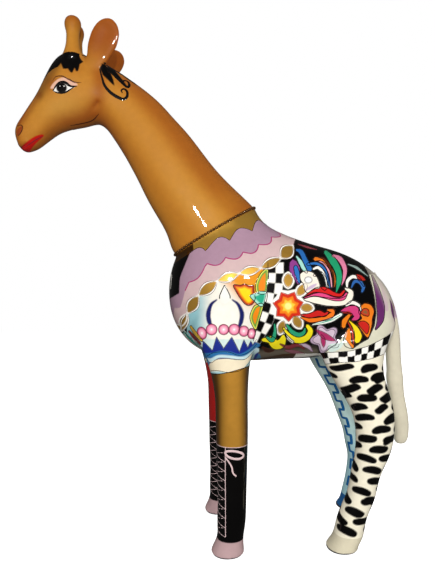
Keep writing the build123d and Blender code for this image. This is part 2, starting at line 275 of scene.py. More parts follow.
# Each ear is cupped: its outward face is hollowed along the middle.
EAR_BASE = np.array((-167.0, -21.0, 613.0))
EAR_TIP = np.array((-137.5, -39.0, 674.5))
for side, dx in ((-1, 0.0), (1, -3.0)):
    base = EAR_BASE * (1, -side, 1) + (dx + SX, 0, 0)
    tip = EAR_TIP * (1, -side, 1) + (dx + SX, 0, 0)
    axis = (tip - base) / np.linalg.norm(tip - base)
    out = np.cross(axis, np.cross((0, side, 0), axis))
    out /= np.linalg.norm(out)
    wide = np.cross(axis, out)
    rel = P - base
    up = rel @ axis
    across = rel @ wide
    lift = rel @ out
    length = np.linalg.norm(tip - base)
    own = (up > 14) & (up < length + 3) & (np.abs(across) < 20) & (np.abs(lift) < 9)
    own &= (N @ out) > 0.1
    hollow = np.exp(-(across / 10.5) ** 2) * smoothstep(12, 30, up)
    hollow *= 1 - smoothstep(length - 16, length - 3, up)
    P[own] -= out * (2.2 * hollow[own])[:, None]

head_zone = near_zone(P, (-190 + SX, 0, 600), 90, 110)
P = relax(P, 3, 0.4 * head_zone[:, None], head_zone > 0)
for side in (-1, 1):
    ear_zone = near_zone(P, (-152 + SX, side * 32, 648), 34, 40) * (np.abs(P[:, 1]) > 18)
    P = relax(P, 24, 0.5 * ear_zone[:, None], ear_zone > 0)
N = vertex_normals(P, Q)

# ---- ray lookups on the finished skin ----
skin_tree = BVHTree.FromPolygons([tuple(p) for p in P], Q.tolist())


def hit(origin, direction):
    """Point and smooth normal where a ray meets the skin, or None."""
    point, _, index, _ = skin_tree.ray_cast(Vector(origin), Vector(direction))
    if index is None:
        return None
    corners = Q[index]
    weights = 1 / (np.linalg.norm(P[corners] - np.array(point), axis=1) + 0.05)
    normal = (N[corners] * weights[:, None]).sum(0)
    return np.array(point), normal / np.linalg.norm(normal)


# The side ornament is laid out on a flat sheet and cast onto each flank from a point level
# with the belly, so that it sits square on the curved sides.
EYE = np.array((-43.3 + SX, -619.5, 329.0))
TURN = math.radians(4)
AHEAD = np.array((math.sin(TURN), math.cos(TURN), 0.0))
RIGHT = np.array((math.cos(TURN), -math.sin(TURN), 0.0))


def sheet_of(points, reach, shift):
    """Sheet coordinates of points on the skin, the same on both sides."""
    rel = np.stack([points[:, 0], -np.abs(points[:, 1]), points[:, 2]], axis=1) - EYE
    depth = rel @ AHEAD
    return np.stack([reach * (rel @ RIGHT) / depth + shift,
                     EYE[2] + reach * rel[:, 2] / depth], axis=1)


def sheet_chart(side, reach, shift):
    def place(s, t):
        ray = AHEAD + RIGHT * ((s - shift) / reach)
        ray[2] += (t - EYE[2]) / reach
        flip = np.array((1, -side, 1))
        spot = hit(EYE * flip, ray * flip)
        return spot if spot is not None and spot[0][1] * side > -1 else None
    return place


FLANK = (558.0, 4.34)       # reach of the body's sheet and its shift, in mm
FACE = (591.8, -1.99)       # the same for the head's sheet
flank_charts = [sheet_chart(side, *FLANK) for side in (-1, 1)]
face_charts = [sheet_chart(side, *FACE) for side in (-1, 1)]

NECK_FOOT = np.array((-2.0 + SX, 0.0, 408.0))
IN_PLANE = np.array((0.8603, 0.0, 0.5098))
DOWN_NECK = np.array((0.5098, 0.0, -0.8603))


def collar(angle, down):
    """Chart round the foot of the neck: angle from the nape, distance toward the body."""
    direction = IN_PLANE * math.cos(angle) + np.array((0, 1, 0)) * math.sin(angle)
    return hit(NECK_FOOT + DOWN_NECK * down, direction)


def leg_axis(front, left):
    """Centre line of a leg: function of z giving x and y."""
    if front:
        dx = 0.0 if left else -3.5
        return lambda z: (13.5 + dx + SX, (-1 if left else 1) * 52.5)
    heights = [0, 14, 42, 60, 77, 96, 114, 134, 155, 175, 196, 216, 242, 268]
    middles = [155, 163, 170.5, 178.5, 183.5, 188, 195, 199, 200, 197, 188, 179, 174, 178]
    shifts = [50, 50, 48, 43, 38.5, 31, 23, 14, 7, 4, 4, 3.5, 3, 2]
    spread = [55, 55, 55, 55, 55, 54.5, 54, 53.5, 53, 52, 51, 50, 48, 44]

    def centre(z):
        x = np.interp(z, heights, middles)
        if not left:
            x = x + np.interp(z, heights, shifts)
        return x + SX, (-1 if left else 1) * np.interp(z, heights, spread)
    return centre


def leg_chart(front, left):
    """Chart round a leg: angle (0 at the back, pi at the front) and height."""
    axis = leg_axis(front, left)
    side = -1 if left else 1

    def place(angle, z):
        x, y = axis(z)
        return hit((x, y, z), (math.cos(angle), side * math.sin(angle), 0))
    return place


# ---- paint: one colour and one metal value per point of the skin ----
BLACK = colour("050404")
IVORY = colour("f8f0d8")
WHITE = colour("f7f4ea")
GOLD = colour("c8983f")
GOLD_DEEP = colour("6b4516")
TAN = colour("b57628")
TAN_LIGHT = colour("c2872c")
BURNT = colour("8c3a08")
paint = np.tile(TAN, (len(P), 1))
metal = np.zeros(len(P))
X = P[:, 0] - SX
Y = P[:, 1]
Z = P[:, 2]
SHEET = sheet_of(P, *FLANK)
S = SHEET[:, 0]
T = SHEET[:, 1]
FACE_SHEET = sheet_of(P, *FACE)
SOFT = 0.5 * VOXEL


def lay(ids, cover, tone, shine=0.0):
    """Lays a colour over the points in ids with a coverage from 0 to 1."""
    cover = np.clip(cover, 0, 1)
    paint[ids] += (tone - paint[ids]) * cover[:, None]
    metal[ids] += (shine - metal[ids]) * cover


def everywhere(cover, tone, shine=0.0):
    cover = np.asarray(cover, dtype=float)
    ids = np.where(cover > 0.001)[0]
    lay(ids, cover[ids], tone, shine)


def edge(value):
    """1 where the value is well below zero and 0 where it is above, softly."""
    return smoothstep(SOFT, -SOFT, value)


def spline(points, closed=False, steps=8):
    """Smooth curve through 2-D points (Catmull-Rom)."""
    pts = [np.array(p, dtype=float) for p in points]
    if closed:
        pts = [pts[-1]] + pts + pts[:2]
    else:
        pts = [2 * pts[0] - pts[1]] + pts + [2 * pts[-1] - pts[-2]]
    out = []
    for a, b, c, d in zip(pts, pts[1:], pts[2:], pts[3:]):
        for k in range(steps):
            t = k / steps
            out.append(0.5 * (2 * b + (c - a) * t + (2 * a - 5 * b + 4 * c - d) * t * t
                              + (3 * b - a - 3 * c + d) * t ** 3))
    if not closed:
        out.append(pts[-2])
    return np.array(out)


def cover_of(places, outline, grow=0.0):
    """Indices near a closed outline and how much each is covered by it."""
    low = outline.min(0) - 3 - max(grow, 0)
    high = outline.max(0) + 3 + max(grow, 0)
    near = np.where(((places > low) & (places < high)).all(1))[0]
    q = places[near]
    best = np.full(len(q), 1e9)
    inside = np.zeros(len(q), dtype=bool)
    for a, b in zip(outline, np.roll(outline, -1, axis=0)):
        e = b - a
        w = q - a
        t = np.clip((w @ e) / max(e @ e, 1e-12), 0, 1)
        best = np.minimum(best, ((w - t[:, None] * e) ** 2).sum(1))
        crosses = (a[1] > q[:, 1]) != (b[1] > q[:, 1])
        rim = (b[0] - a[0]) * (q[:, 1] - a[1]) / (b[1] - a[1] + 1e-12) + a[0]
        inside ^= crosses & (q[:, 0] < rim)
    gap = np.sqrt(best)
    gap[inside] *= -1
    return near, np.clip(0.5 - (gap - grow) / (2 * SOFT), 0, 1)


class Canvas:
    """Paints closed outlines on part of the skin, in that part's own 2-D chart."""

    def __init__(self, chosen, places):
        self.ids = np.where(chosen)[0]
        self.places = places[self.ids]

    def fill(self, outline, tone, shine=0.0, grow=0.0):
        if isinstance(tone, str):
            tone = colour(tone)
        near, cover = cover_of(self.places, np.asarray(outline, dtype=float), grow)
        lay(self.ids[near], cover, tone, shine)


def leaf(tail, tip, width, bend=0.0, steps=12, fullness=0.8):
    """Pointed leaf between two ends."""
    tail = np.array(tail, dtype=float)
    tip = np.array(tip, dtype=float)
    along = tip - tail
    across = np.array((-along[1], along[0])) / np.linalg.norm(along)
    share = np.linspace(0, 1, steps)
    middle = tail + share[:, None] * along + (across * bend) * np.sin(np.pi * share)[:, None]
    half = (width / 2 * np.sin(np.pi * share) ** fullness)[:, None] * across
    return np.concatenate([middle + half, (middle - half)[::-1][1:-1]])


def disc(centre, radius, steps=28, squash=1.0, lean=0.0):
    angle = np.arange(steps) * 2 * np.pi / steps
    u = radius * np.cos(angle)
    v = radius * squash * np.sin(angle)
    return np.stack([centre[0] + u - lean * v, centre[1] + v + lean * u], axis=1)


def star(centre, outer_r, inner_r, points, turn=0.0):
    angle = turn + np.arange(points * 2) * np.pi / points
    radius = np.where(np.arange(points * 2) % 2 == 0, outer_r, inner_r)
    return np.stack([centre[0] + radius * np.cos(angle),
                     centre[1] + radius * np.sin(angle)], axis=1)


def plume(spine, widths, low=-1.0, high=1.0):
    """Band of a tapering plume; low and high are shares of its half width."""
    line = spline(spine, steps=7)
    width = np.interp(np.linspace(0, 1, len(line)), np.linspace(0, 1, len(widths)), widths)
    along = np.gradient(line, axis=0)
    along /= np.linalg.norm(along, axis=1)[:, None] + 1e-9
    across = np.stack([-along[:, 1], along[:, 0]], axis=1)
    one = line + across * (width * high)[:, None]
    two = line + across * (width * low)[:, None]
    start = line[0] - along[0] * width[0] * 0.8
    end = line[-1] + along[-1] * width[-1] * 0.8
    return np.concatenate([one, [end], two[::-1], [start]])


# ---- fine line work, as thin ribbons of enamel on the skin ----
ribbons = {}


def ribbon(chart, line, width, tone, lift=0.12, closed=False, taper=False):
    """Thin raised enamel line along a 2-D path in a chart."""
    spots = [chart(*p) for p in line]
    spots = [s for s in spots if s is not None]
    if len(spots) < 2:
        return
    points = np.array([s[0] for s in spots])
    normals = np.array([s[1] for s in spots])
    if closed:
        along = np.roll(points, -1, axis=0) - np.roll(points, 1, axis=0)
    else:
        along = np.gradient(points, axis=0)
    along /= np.linalg.norm(along, axis=1)[:, None] + 1e-9
    across = np.cross(normals, along)
    across /= np.linalg.norm(across, axis=1)[:, None] + 1e-9
    half = np.full(len(points), width / 2)
    if taper:
        half *= 0.25 + 0.75 * np.sin(np.linspace(0.12, np.pi - 0.12, len(points)))
    half = half[:, None]
    store = ribbons.setdefault(tone, {"v": [], "n": [], "f": []})
    base = len(store["v"])
    rows = [points + normals * (lift - 0.3) - across * half * 1.12,
            points + normals * lift - across * half * 0.8,
            points + normals * (lift + 0.1),
            points + normals * lift + across * half * 0.8,
            points + normals * (lift - 0.3) + across * half * 1.12]
    tilt = [-0.9, -0.25, 0.0, 0.25, 0.9]
    for i in range(len(points)):
        for row, lean in zip(rows, tilt):
            store["v"].append(row[i])
            n = normals[i] + across[i] * lean
            store["n"].append(n / np.linalg.norm(n))
    count = len(points)
    for i in range(count if closed else count - 1):
        j = (i + 1) % count
        if np.linalg.norm(points[j] - points[i]) > 14:
            continue
        for k in range(4):
            a = base + i * 5 + k
            b = base + j * 5 + k
            store["f"].append((a, b, b + 1, a + 1))


def dense(line, step=1.6, closed=False):
    """The same line with points at most a step apart."""
    line = [np.array(p, dtype=float) for p in line]
    if closed:
        line = line + [line[0]]
    out = []
    for a, b in zip(line, line[1:]):
        pieces = max(1, int(np.linalg.norm(b - a) / step))
        out += [a + (b - a) * k / pieces for k in range(pieces)]
    if not closed:
        out.append(line[-1])
    return out


def draw(charts, line, width, tone, closed=False, taper=False, step=1.6, lift=0.12):
    path = dense(line, step, closed)
    for chart in charts:
        ribbon(chart, path, width, tone, lift, closed, taper)


def side_line(line, width, tone, closed=False, taper=False):
    draw(flank_charts, line, width, tone, closed, taper)


# Signed distance from the neck's joint plane, positive toward the body, and the angle round
# the neck there, from the nape.
from_chain = (P - NECK_FOOT) @ DOWN_NECK
round_neck = np.arctan2(np.abs(Y), (P - NECK_FOOT) @ IN_PLANE)
is_tail = (np.abs(Y) < 12) & (X > 236) & (Z < 300) | (np.abs(Y) < 10.5) & (X > 228) & (Z >= 300)
is_tail &= Z < 352
is_neck = (from_chain < 0) & (Z > 360)
is_torso = ~is_neck & ~is_tail

# ---- neck and head ----
neck_middle = np.interp(Z, [400, 450, 500, 550, 600, 640], [8, -32, -68, -104, -150, -185])
back_edge = X - neck_middle
glow = smoothstep(520, 420, Z) * is_neck
everywhere(is_neck * 0.25, TAN_LIGHT)
everywhere(glow * 0.6, TAN_LIGHT)
nape = smoothstep(2, 36, back_edge) * smoothstep(668, 600, Z) * smoothstep(395, 470, Z) * is_neck
everywhere(nape * 0.60, BURNT)
throat = smoothstep(-14, -44, back_edge) * smoothstep(-170, -140, X) * is_neck
everywhere(throat * 0.32, BURNT)
neck_foot = smoothstep(-34, 0, from_chain) * is_neck * smoothstep(1.5, 0.4, round_neck)
everywhere(neck_foot * 0.55, BURNT)
# Painted shade: a brown wash darkens the skin along the sculpted jaw crease, on both sides.
jaw_crease_shade = [(-197 + SX, 16, 549), (-177 + SX, 17, 553), (-166 + SX, 20, 560),
          (-157 + SX, 25, 574), (-154 + SX, 28, 594), (-156 + SX, 30, 610)]
for side in (-1, 1):
    own = np.where((Y * side > 0) & (Z > 530) & (X < -130))[0]
    gap, _ = along_path(P[own], [(x, side * y, z) for x, y, z in jaw_crease_shade])
    lay(own, np.exp(-(gap / 10) ** 2) * 0.62, BURNT)
face_x = FACE_SHEET[:, 0]
face_z = FACE_SHEET[:, 1]
EAR_MIDDLES = ((-150 + SX, -32, 650), (-153 + SX, 32, 650))


def face_patch(x, z, wide, high):
    """Soft round patch on both sides of the head."""
    return np.exp(-((face_x - x) / wide) ** 2 - ((face_z - z) / high) ** 2) * (X < -150)


def near_ears(inner, outer_radius):
    """Weight of the points round either ear."""
    return sum(near_zone(P, middle, inner, outer_radius) for middle in EAR_MIDDLES)


everywhere(face_patch(-219, 600, 10, 12) * 0.5, BURNT)
everywhere(face_patch(-190, 622, 14, 9) * 0.35, BURNT)
is_ear = near_ears(36, 37) > 0
is_ear &= (np.abs(Y) > 19) & (Z > 622) & (X > -182)
ear_tone = near_ears(32, 46)
ear_tone *= smoothstep(17, 23, np.abs(Y)) * smoothstep(608, 655, Z) * smoothstep(-186, -172, X)
everywhere(ear_tone * 0.78, BURNT)
everywhere(smoothstep(664, 690, Z) * (X < -176) * (np.abs(Y) < 27) * 0.75, BURNT)
everywhere(face_patch(-204, 566, 27, 19) * 0.65, colour("c28f3c"))
everywhere(smoothstep(-240, -268, X) * (Z < 560) * 0.3, BURNT)
# Painted shade: brown darkens the forward-facing skin along the middle of the head's front and the
# downward-facing skin under the head and jaw.
everywhere(smoothstep(0.2, -0.5, N[:, 0]) * (X < -205) * (Z > 545) * (np.abs(Y) < 15) * 0.5, BURNT)
everywhere(smoothstep(-0.2, -0.8, N[:, 2]) * (Z > 500) * (X < -120) * 0.55, BURNT)

# Dark bands in the head's side sheet: a dark gradient along the forelock's lower edge, and a brown
# band down the bridge of the nose that is painted shade along the head's outline.
for reach, tone, width, cover in (
    ([(-206, 634), (-216, 622), (-224, 608), (-231, 595), (-236, 586)], "2a1408", 7, 0.5),
    ([(-236, 586), (-252, 561), (-263, 546), (-266, 530)], "7a3208", 4.5, 0.45),
):
    own = np.where((X < -190) & (Z > 515) & (np.abs(Y) > 1))[0]
    spots = np.stack([face_x[own], np.zeros(len(own)), face_z[own]], axis=1)
    gap, _ = along_path(spots, [(x, 0, z) for x, z in reach])
    lay(own, np.exp(-(gap / width) ** 2) * cover, colour(tone))

# ---- grounds of the torso ----
CHAIN_LINE = [(-60, 262), (-40, 278), (-33, 300), (-19.5, 322), (4, 340), (31, 349.5), (58, 356),
              (83, 368.5), (98, 384), (104, 402)]
above_chain = T - np.interp(S, [p[0] for p in CHAIN_LINE], [p[1] for p in CHAIN_LINE])
WAVE_LEVEL = ([0, 0.7, 1.3, 2.2, 2.6, 2.75, 3.14], [44, 47, 47, 34, 46, 60, 68])
LILAC = colour("a68597")
PALE_LILAC = colour("cbaead")
everywhere(is_torso * 1.0, BLACK)
# Painted shade: the downward-facing skin under the belly is darkened to grey-brown.
belly = is_torso * (Z < 262) * (Z > 225) * (X > 20) * (X < 200)
everywhere(smoothstep(-0.62, -0.8, N[:, 2]) * belly, colour("6b6152"))

panel = is_torso * edge(above_chain) * edge(S - 46 - (T - 262) * 0.23) * smoothstep(-34, -33, S)
panel = panel * (T > 244)
everywhere(panel, colour("8fbfc6"))
everywhere(panel * smoothstep(-24, 0, S), colour("efe9dc"))
warm = smoothstep(4, 34, S + (T - 334) * 0.9) * smoothstep(296, 322, T)
everywhere(panel * warm, colour("e28f08"))

collar_zone = is_torso * edge(-above_chain) * (from_chain > -2) * edge(S - 101)
everywhere(collar_zone, PALE_LILAC)


def wave_edge(angle):
    """Depth of the lilac's wavy edge at an angle from the nape."""
    return np.interp(angle, *WAVE_LEVEL) + 6.0 * np.abs(np.sin(angle * 8.6 + 0.4)) - 3


everywhere(collar_zone * edge(from_chain - wave_edge(round_neck)), LILAC)
chest_edge = np.interp(from_chain, [5, 29, 53], [2.45, 2.67, 2.73])
past_edge = smoothstep(-0.01, 0.01, round_neck - chest_edge)
everywhere(collar_zone * past_edge * edge(from_chain - 46), BLACK)


def scallop(angle):
    """Depth of the gold band's scalloped edge at an angle from the nape."""
    tip = 20.5 + 7 * np.cos(angle)
    arch = 11 + 5 * np.cos(angle)
    phase = ((angle - 0.87) / 0.628) % 1.0
    return tip - (tip - arch) * np.sin(np.pi * phase ** 0.63)


below_chain = is_torso * (from_chain > -2)
gold_band = below_chain * edge(from_chain - scallop(round_neck)) * (from_chain < 34)
gold_band = gold_band * smoothstep(2.52, 2.46, round_neck)
everywhere(gold_band, GOLD, 0.6)
everywhere(below_chain * edge(from_chain - 8) * (round_neck > 2.4), GOLD_DEEP, 0.85)

sides = Canvas(is_torso & (np.abs(Y) > 9), SHEET)


def motif(outline, tone, line="black", width=1.1, shine=0.0, grow=0.0):
    """Filled shape with a thin line round it, on both flanks."""
    sides.fill(outline, tone, shine, grow)
    if line:
        side_line(outline, width, line, closed=True)


def layers(outline, steps, line="black", width=1.1):
    """One outline filled again and again, each fill smaller than the last."""
    for grow, tone in steps:
        sides.fill(outline, tone, grow=grow)
    if line:
        side_line(outline, width, line, closed=True)


def stroke(spine, widths, tone, line="black", width=1.1):
    motif(plume(spine, widths), tone, line, width)


# ---- shoulder: ball with a drop, beads, teeth, waves ----
sides.fill(disc((13.5, 297), 21), "f3eee2")
drop = spline([(13, 335), (9.5, 328), (7, 321), (8.5, 315), (13.5, 312), (18.5, 315), (20, 321),
               (17, 328)], closed=True)
sides.fill(drop, "f6f2e8")
side_line([(6.8, 318), (7, 322), (9.5, 328), (13, 335)], 1.3, "black")
side_line([(13, 335), (17, 328), (19.8, 322), (20, 318.5)], 1.3, "black")
stroke([(3.5, 317), (-3.5, 311), (-7, 300), (-6, 290), (-3, 284)], [0.8, 2.0, 3.0, 2.9, 1.8],
       "161c5e", None)
stroke([(22.5, 317), (30, 311), (34.5, 300), (33.5, 290), (31, 283)], [0.8, 2.0, 2.9, 2.8, 1.8],
       "161c5e", None)
sides.fill([(-34, 270), (-20, 268), (52, 268), (54, 250), (-34, 250)], "cfe0da")
BEADS = (((-15, 275.5), 5.6, 1.35, 0.3), ((-3, 280), 6.9, 1.0, 0), ((12, 280), 6.5, 1.0, 0),
         ((25, 280), 6.9, 1.0, 0), ((37, 278), 6.3, 1.05, 0), ((46.5, 275), 5, 1.3, -0.1))
for place, radius, tall, lean in BEADS:
    for r, tone in ((radius, "b03a66"), (radius - 1.3, "f08fae"), (radius * 0.52, "f5b6c6"),
                    (radius * 0.2, "fdf3f0")):
        sides.fill(disc(place, r, squash=tall, lean=lean), tone)
    side_line(disc(place, radius, squash=tall, lean=lean), 0.8, "plum", closed=True)
upper_leg = Canvas((Z < 278) & (X < 66) & (X > -60) & (np.abs(Y) > 9), SHEET)
TEETH = [(-14, 266), (-11.5, 264), (-2, 254), (3, 271), (12, 256.5), (22, 271), (31.5, 252.5),
         (37, 267.5), (42, 258), (45.5, 266), (48, 261), (53, 268)]
upper_leg.fill(TEETH + [(56, 240), (-16, 236)], "182a86")
side_line(TEETH, 0.7, "black")
upper_leg.fill(plume([(-14, 248), (-3, 248), (8, 251), (20, 250), (31, 247), (42, 251), (55, 262)],
                     [3, 3, 2.5, 2.5, 2.5, 3, 3]), "2a6ea4")
upper_leg.fill(plume([(-14, 243), (-4, 242), (6, 246.5), (20, 246), (32, 244.5), (41, 246),
                      (54, 255)], [3, 2.4, 1.8, 1.8, 1.8, 2.4, 3]), "c3dde0")
cream = spline([(-5, 238), (4, 243), (16, 244), (31, 242.5), (40, 244), (47, 250), (43, 238),
                (33, 229), (18, 226), (4, 227.5), (-7, 228)], closed=True)
upper_leg.fill(spline([(-16, 250), (-6, 239), (-8, 226), (20, 222), (42, 226), (56, 250),
                       (56, 222), (20, 214), (-20, 218)], closed=True), "3a7aa6")
upper_leg.fill(cream, "f0e2c4")
upper_leg.fill(plume([(-6, 227), (8, 226.5), (20, 224.5), (32, 226.5), (44, 238), (50, 250)],
                     [1.2, 1.4, 1.6, 1.6, 1.8, 1]), "a9ccd0")
for line in ([(-13, 252), (-5, 239), (4, 243), (16, 244), (31, 242.5), (40, 244), (50, 254)],
             [(-5, 229), (5, 229), (18, 226.8), (32, 229), (42, 237), (48, 249)],
             [(-9, 247), (1, 251.5), (18, 252), (31, 248), (43, 252), (53, 262)]):
    side_line(spline(line), 0.7, "black")

# Stripes under the chain, toward the chest.
stroke([(-29, 284), (-23, 275), (-15, 266)], [1.2, 2.2, 1.4], "d9ae36")
stroke([(-31, 278), (-25, 271), (-17, 262)], [1, 1.9, 1.4], "8e1c1c")
stroke([(-38, 276), (-30, 267), (-16, 256)], [1.4, 3, 2.2], "3d8d86")

# Beside the checker strip: two long leaves, a flame and a small turquoise leaf.
LEAF_STEPS = ((0, "efe65a"), (-1.7, "4f9a3c"), (-3.6, "ec8412"))
layers(spline([(67, 355), (60, 352), (54.5, 344), (51.5, 334), (54, 325), (66, 327)], closed=True),
       LEAF_STEPS)
layers(spline([(61, 311), (51, 310), (46, 302), (44.5, 294), (47.5, 285), (52, 280), (56, 290)],
              closed=True), LEAF_STEPS)
flame = spline([(24, 335), (33, 335), (38, 336.5), (44, 334), (49, 334.5), (49.5, 327), (51, 318),
                (47, 311), (40, 310.5), (33, 318), (28, 326)], closed=True)
layers(flame, ((0, "b5250f"), (-2.3, "ee8c12"), (-4.2, "f8d30f")))
small = spline([(44.5, 322), (52, 325), (59, 327.5), (66, 325), (64, 313), (58, 308.5), (50, 315)],
               closed=True)
layers(small, ((0, "9edcc8"), (-3.4, "24a583")))

# Checker strip, two columns wide.
strip = spline([(76.5, 363), (76.5, 348), (75.5, 334), (73.5, 319), (69.5, 305), (65, 292),
                (59, 278), (53, 264)])
reach = np.interp(np.linspace(0, 1, len(strip)), [0, 0.5, 0.75, 1], [9.6, 9.6, 8.4, 4.5])
heading = np.gradient(strip, axis=0)
heading /= np.linalg.norm(heading, axis=1)[:, None]
beside = np.stack([-heading[:, 1], heading[:, 0]], axis=1) * reach[:, None]
strip_right = strip + beside
strip_left = strip - beside
sides.fill(np.concatenate([strip_left, strip_right[::-1]]), WHITE)
STRIP_ROWS = 8
for row in range(STRIP_ROWS):
    a = int(round(row * (len(strip) - 1) / STRIP_ROWS))
    b = int(round((row + 1) * (len(strip) - 1) / STRIP_ROWS))
    one, two = (strip, strip_right) if row % 2 else (strip_left, strip)
    sides.fill(np.concatenate([one[a:b + 1], two[a:b + 1][::-1]]), BLACK)
side_line(strip_left, 0.8, "black")

# ---- sunburst with gold petals ----
SUN = (92, 309)
sides.fill(star(SUN, 23, 19, 7, 0.25), WHITE)
# Gold petals: bearing, start and end from the sun's middle, width.
PETALS = ((90, 23, 41, 12), (50, 17, 36, 11), (-5, 15, 31, 11), (-60, 14, 31, 11),
          (-107, 19, 36, 10))
for turn, start, end, wide in PETALS:
    a = math.radians(turn)
    one = (SUN[0] + start * math.cos(a), SUN[1] + start * math.sin(a))
    two = (SUN[0] + end * math.cos(a), SUN[1] + end * math.sin(a))
    sides.fill(leaf(one, two, wide, fullness=0.6), WHITE, grow=1.9)
    sides.fill(leaf(one, two, wide, fullness=0.6), GOLD, 0.5, grow=-0.6)
    side_line(leaf(one, two, wide - 1, fullness=0.6), 0.5, "umber", closed=True)
motif(star(SUN, 19.5, 14.5, 7, 0.25), "cf2a12", "umber", 0.5)
sides.fill(star(SUN, 13.6, 9.8, 7, 0.25), "ee7f14")
sides.fill(star(SUN, 9.2, 6.2, 7, 0.25), "f4c93a")
sides.fill(disc(SUN, 4.2), "f8ea8c")

# ---- plumes, waves and flowers over the black flank: spine, half widths, tone ----
STROKES = (
    ([(102, 379), (108, 376), (113, 366), (119, 354)], [1.5, 3, 3.2, 3.4], "2465ad"),
    ([(102, 371), (107, 364), (111, 356), (115, 351)], [1, 2.7, 2.6, 1.5], "9fd6c8"),
    ([(98, 364), (100, 355), (105, 337)], [4.5, 7, 2], "8a3c86"),
    ([(101, 358), (103, 350), (106, 338)], [2.4, 3.2, 1.5], "2a6fb6"),
    ([(124, 347), (131, 349), (136, 341), (137, 331)], [1.2, 3.5, 3.6, 3.6], "0b0a0a"),
    ([(123, 355), (130, 356.5), (138, 347), (141, 333)], [1.5, 2.3, 2.2, 1.8], "f1efe6"),
    ([(116, 361), (128, 361.5), (138, 353), (143.5, 332)], [1.6, 1.9, 1.7, 1.2], "2b6cb4"),
    ([(130, 365), (137.5, 361), (144, 348), (146, 333)], [0.8, 1.5, 1.5, 1.2], "e79bab"),
    ([(125, 367.5), (130, 367.5), (136, 366), (145, 356), (149.5, 345), (149.5, 333)],
     [2.6, 2.2, 2.6, 2.4, 2.0, 0.8], "e5781c"),
    ([(130, 370), (137, 367.5), (143.5, 358), (147.4, 345), (148, 332)],
     [1, 1.6, 1.8, 1.6, 0.8], "55230c"),
    ([(138, 376.5), (146, 367), (153, 354), (155, 341), (151.5, 326)],
     [2.4, 4.5, 4.7, 4.0, 0.8], "1f9868"),
    ([(147, 372), (156, 367.5), (162, 356), (161.5, 345), (158.5, 335)],
     [1.4, 3.4, 3, 2.4, 0.8], "dd7f9f"),
    ([(104, 386), (116, 382), (128, 379)], [0.5, 1.5, 0.5], "8c3a44"),
    ([(166, 361), (177, 356.5), (191, 346)], [0.8, 1.8, 0.6], "93aaa2"),
    ([(112, 317), (124, 317), (140, 314.3), (155, 313.8), (166, 317.5), (169.5, 326), (163, 331)],
     [0.9, 4.6, 5, 4.8, 5, 3.4, 1.6], "f2ead8"),
    ([(112, 319.3), (125, 323.5), (138, 321.5), (150, 318.2), (160, 319), (164.5, 325)],
     [0.7, 2.6, 3.0, 2.6, 2.6, 1.4], "e0457f"),
    ([(113, 321), (126, 328.3), (137, 328.8), (148, 323.8), (156, 322.5), (161.5, 328)],
     [0.8, 3.2, 4.0, 3.0, 2.4, 1.4], "cf1a1a"),
    ([(108, 295), (119, 291.5), (133, 293), (144, 296.5), (147, 302.5), (141, 304)],
     [1, 3, 2.6, 3.4, 3, 1.5], "ee7418"),
    ([(108, 298), (118, 297), (129, 300), (137, 298.5), (141.5, 302)],
     [0.8, 3, 4, 2.6, 1.2], "c81c17"),
    ([(122, 286), (134, 288.5), (146, 292), (158, 299)], [0.9, 2.5, 2.8, 2.2], "eef2e8"),
    ([(86, 282), (95, 270.5), (105, 266.5), (115, 270), (119.5, 278), (115.5, 285)],
     [1.2, 3.6, 4, 4, 3.6, 2.4], "f1de1c"),
    ([(90, 286), (97, 277), (105, 273.5), (111, 276), (113, 281.5)],
     [1.5, 3, 3, 2.6, 1.2], "2a9c72"),
    ([(60, 267), (70, 267), (76, 261.5), (83, 263), (87, 272)], [2, 5, 6, 6, 3], "eedb1a"),
    ([(65, 271), (72, 267), (75.5, 276), (75, 287)], [1.5, 3, 2.4, 1.2], "2a9c72"),
    ([(87, 276), (92, 269), (98, 264)], [0.8, 2, 1.8], "f2efe4"),
)
for spine, widths, tone in STROKES:
    stroke(spine, widths, tone)
for spine, tone in (([(82, 262), (92, 258), (104, 261), (112, 256)], "7a2430"),
                    ([(88, 254), (100, 252), (112, 250)], "8a5560"),
                    ([(106, 262), (116, 259), (122, 253)], "bfa6bd"),
                    ([(60, 258), (66, 254), (74, 254)], "3a1d12")):
    stroke(spine, [0.8, 2.4, 2.2, 0.8], tone, "umber", 0.6)
side_line([(124, 286.5), (134, 288.5), (146, 292), (157, 298)], 1.4, "jade", taper=True)

shell = spline([(107, 349), (113, 352.5), (121, 351.5), (127, 346), (130.5, 338), (131, 331.5),
                (124, 330), (116, 325.5), (112.5, 329), (111, 336), (107, 342)], closed=True)
layers(shell, ((0, "f0e6d6"),))
sides.fill(spline([(113, 328), (123, 331.5), (127.5, 337), (119, 334)], closed=True), "c9b3cb")
layers(disc((117, 341.5), 4.8, squash=0.85), ((0, "d4d3d0"), (-1.6, "fbfaf7")), "slate", 0.6)


def flower(centre, radius, petals, tones, turn=0.0, depth=0.2):
    """Round-petalled flower in nested tones."""
    angle = np.linspace(0, 2 * np.pi, 60, endpoint=False)
    for share, tone in tones:
        r = radius * share * (1 - depth + depth * np.cos(petals * (angle + turn)))
        shape = np.stack([centre[0] + r * np.cos(angle), centre[1] + r * np.sin(angle)], axis=1)
        motif(shape, tone, "black", 0.6)


# White and blue swirl with a red wedge.
stroke([(165, 332), (165.5, 340), (172, 345.5), (180, 342.5), (186, 334)],
       [1.4, 2.3, 2.5, 1.9, 0.8], "f1eee6")
stroke([(170.5, 332), (174, 339), (180, 339.5), (185, 333), (183.5, 326.5)],
       [1.2, 2.3, 2.7, 2.7, 1.5], "2d62a8")
motif(leaf((176, 348.5), (188, 341), 6.5, -0.8), "b8241a")

# Lilac flower with raspberry leaves.
flower((138, 268.5), 19, 5, ((1, "bfa6bd"), (0.82, "d9c2d3")), 0.5, 0.18)
motif(leaf((126, 280), (151, 266), 7.5, -1.5), "b02f63", "black", 0.6)
motif(leaf((133, 274), (136, 257.5), 5.5, 1), "b02f63", "black", 0.6)

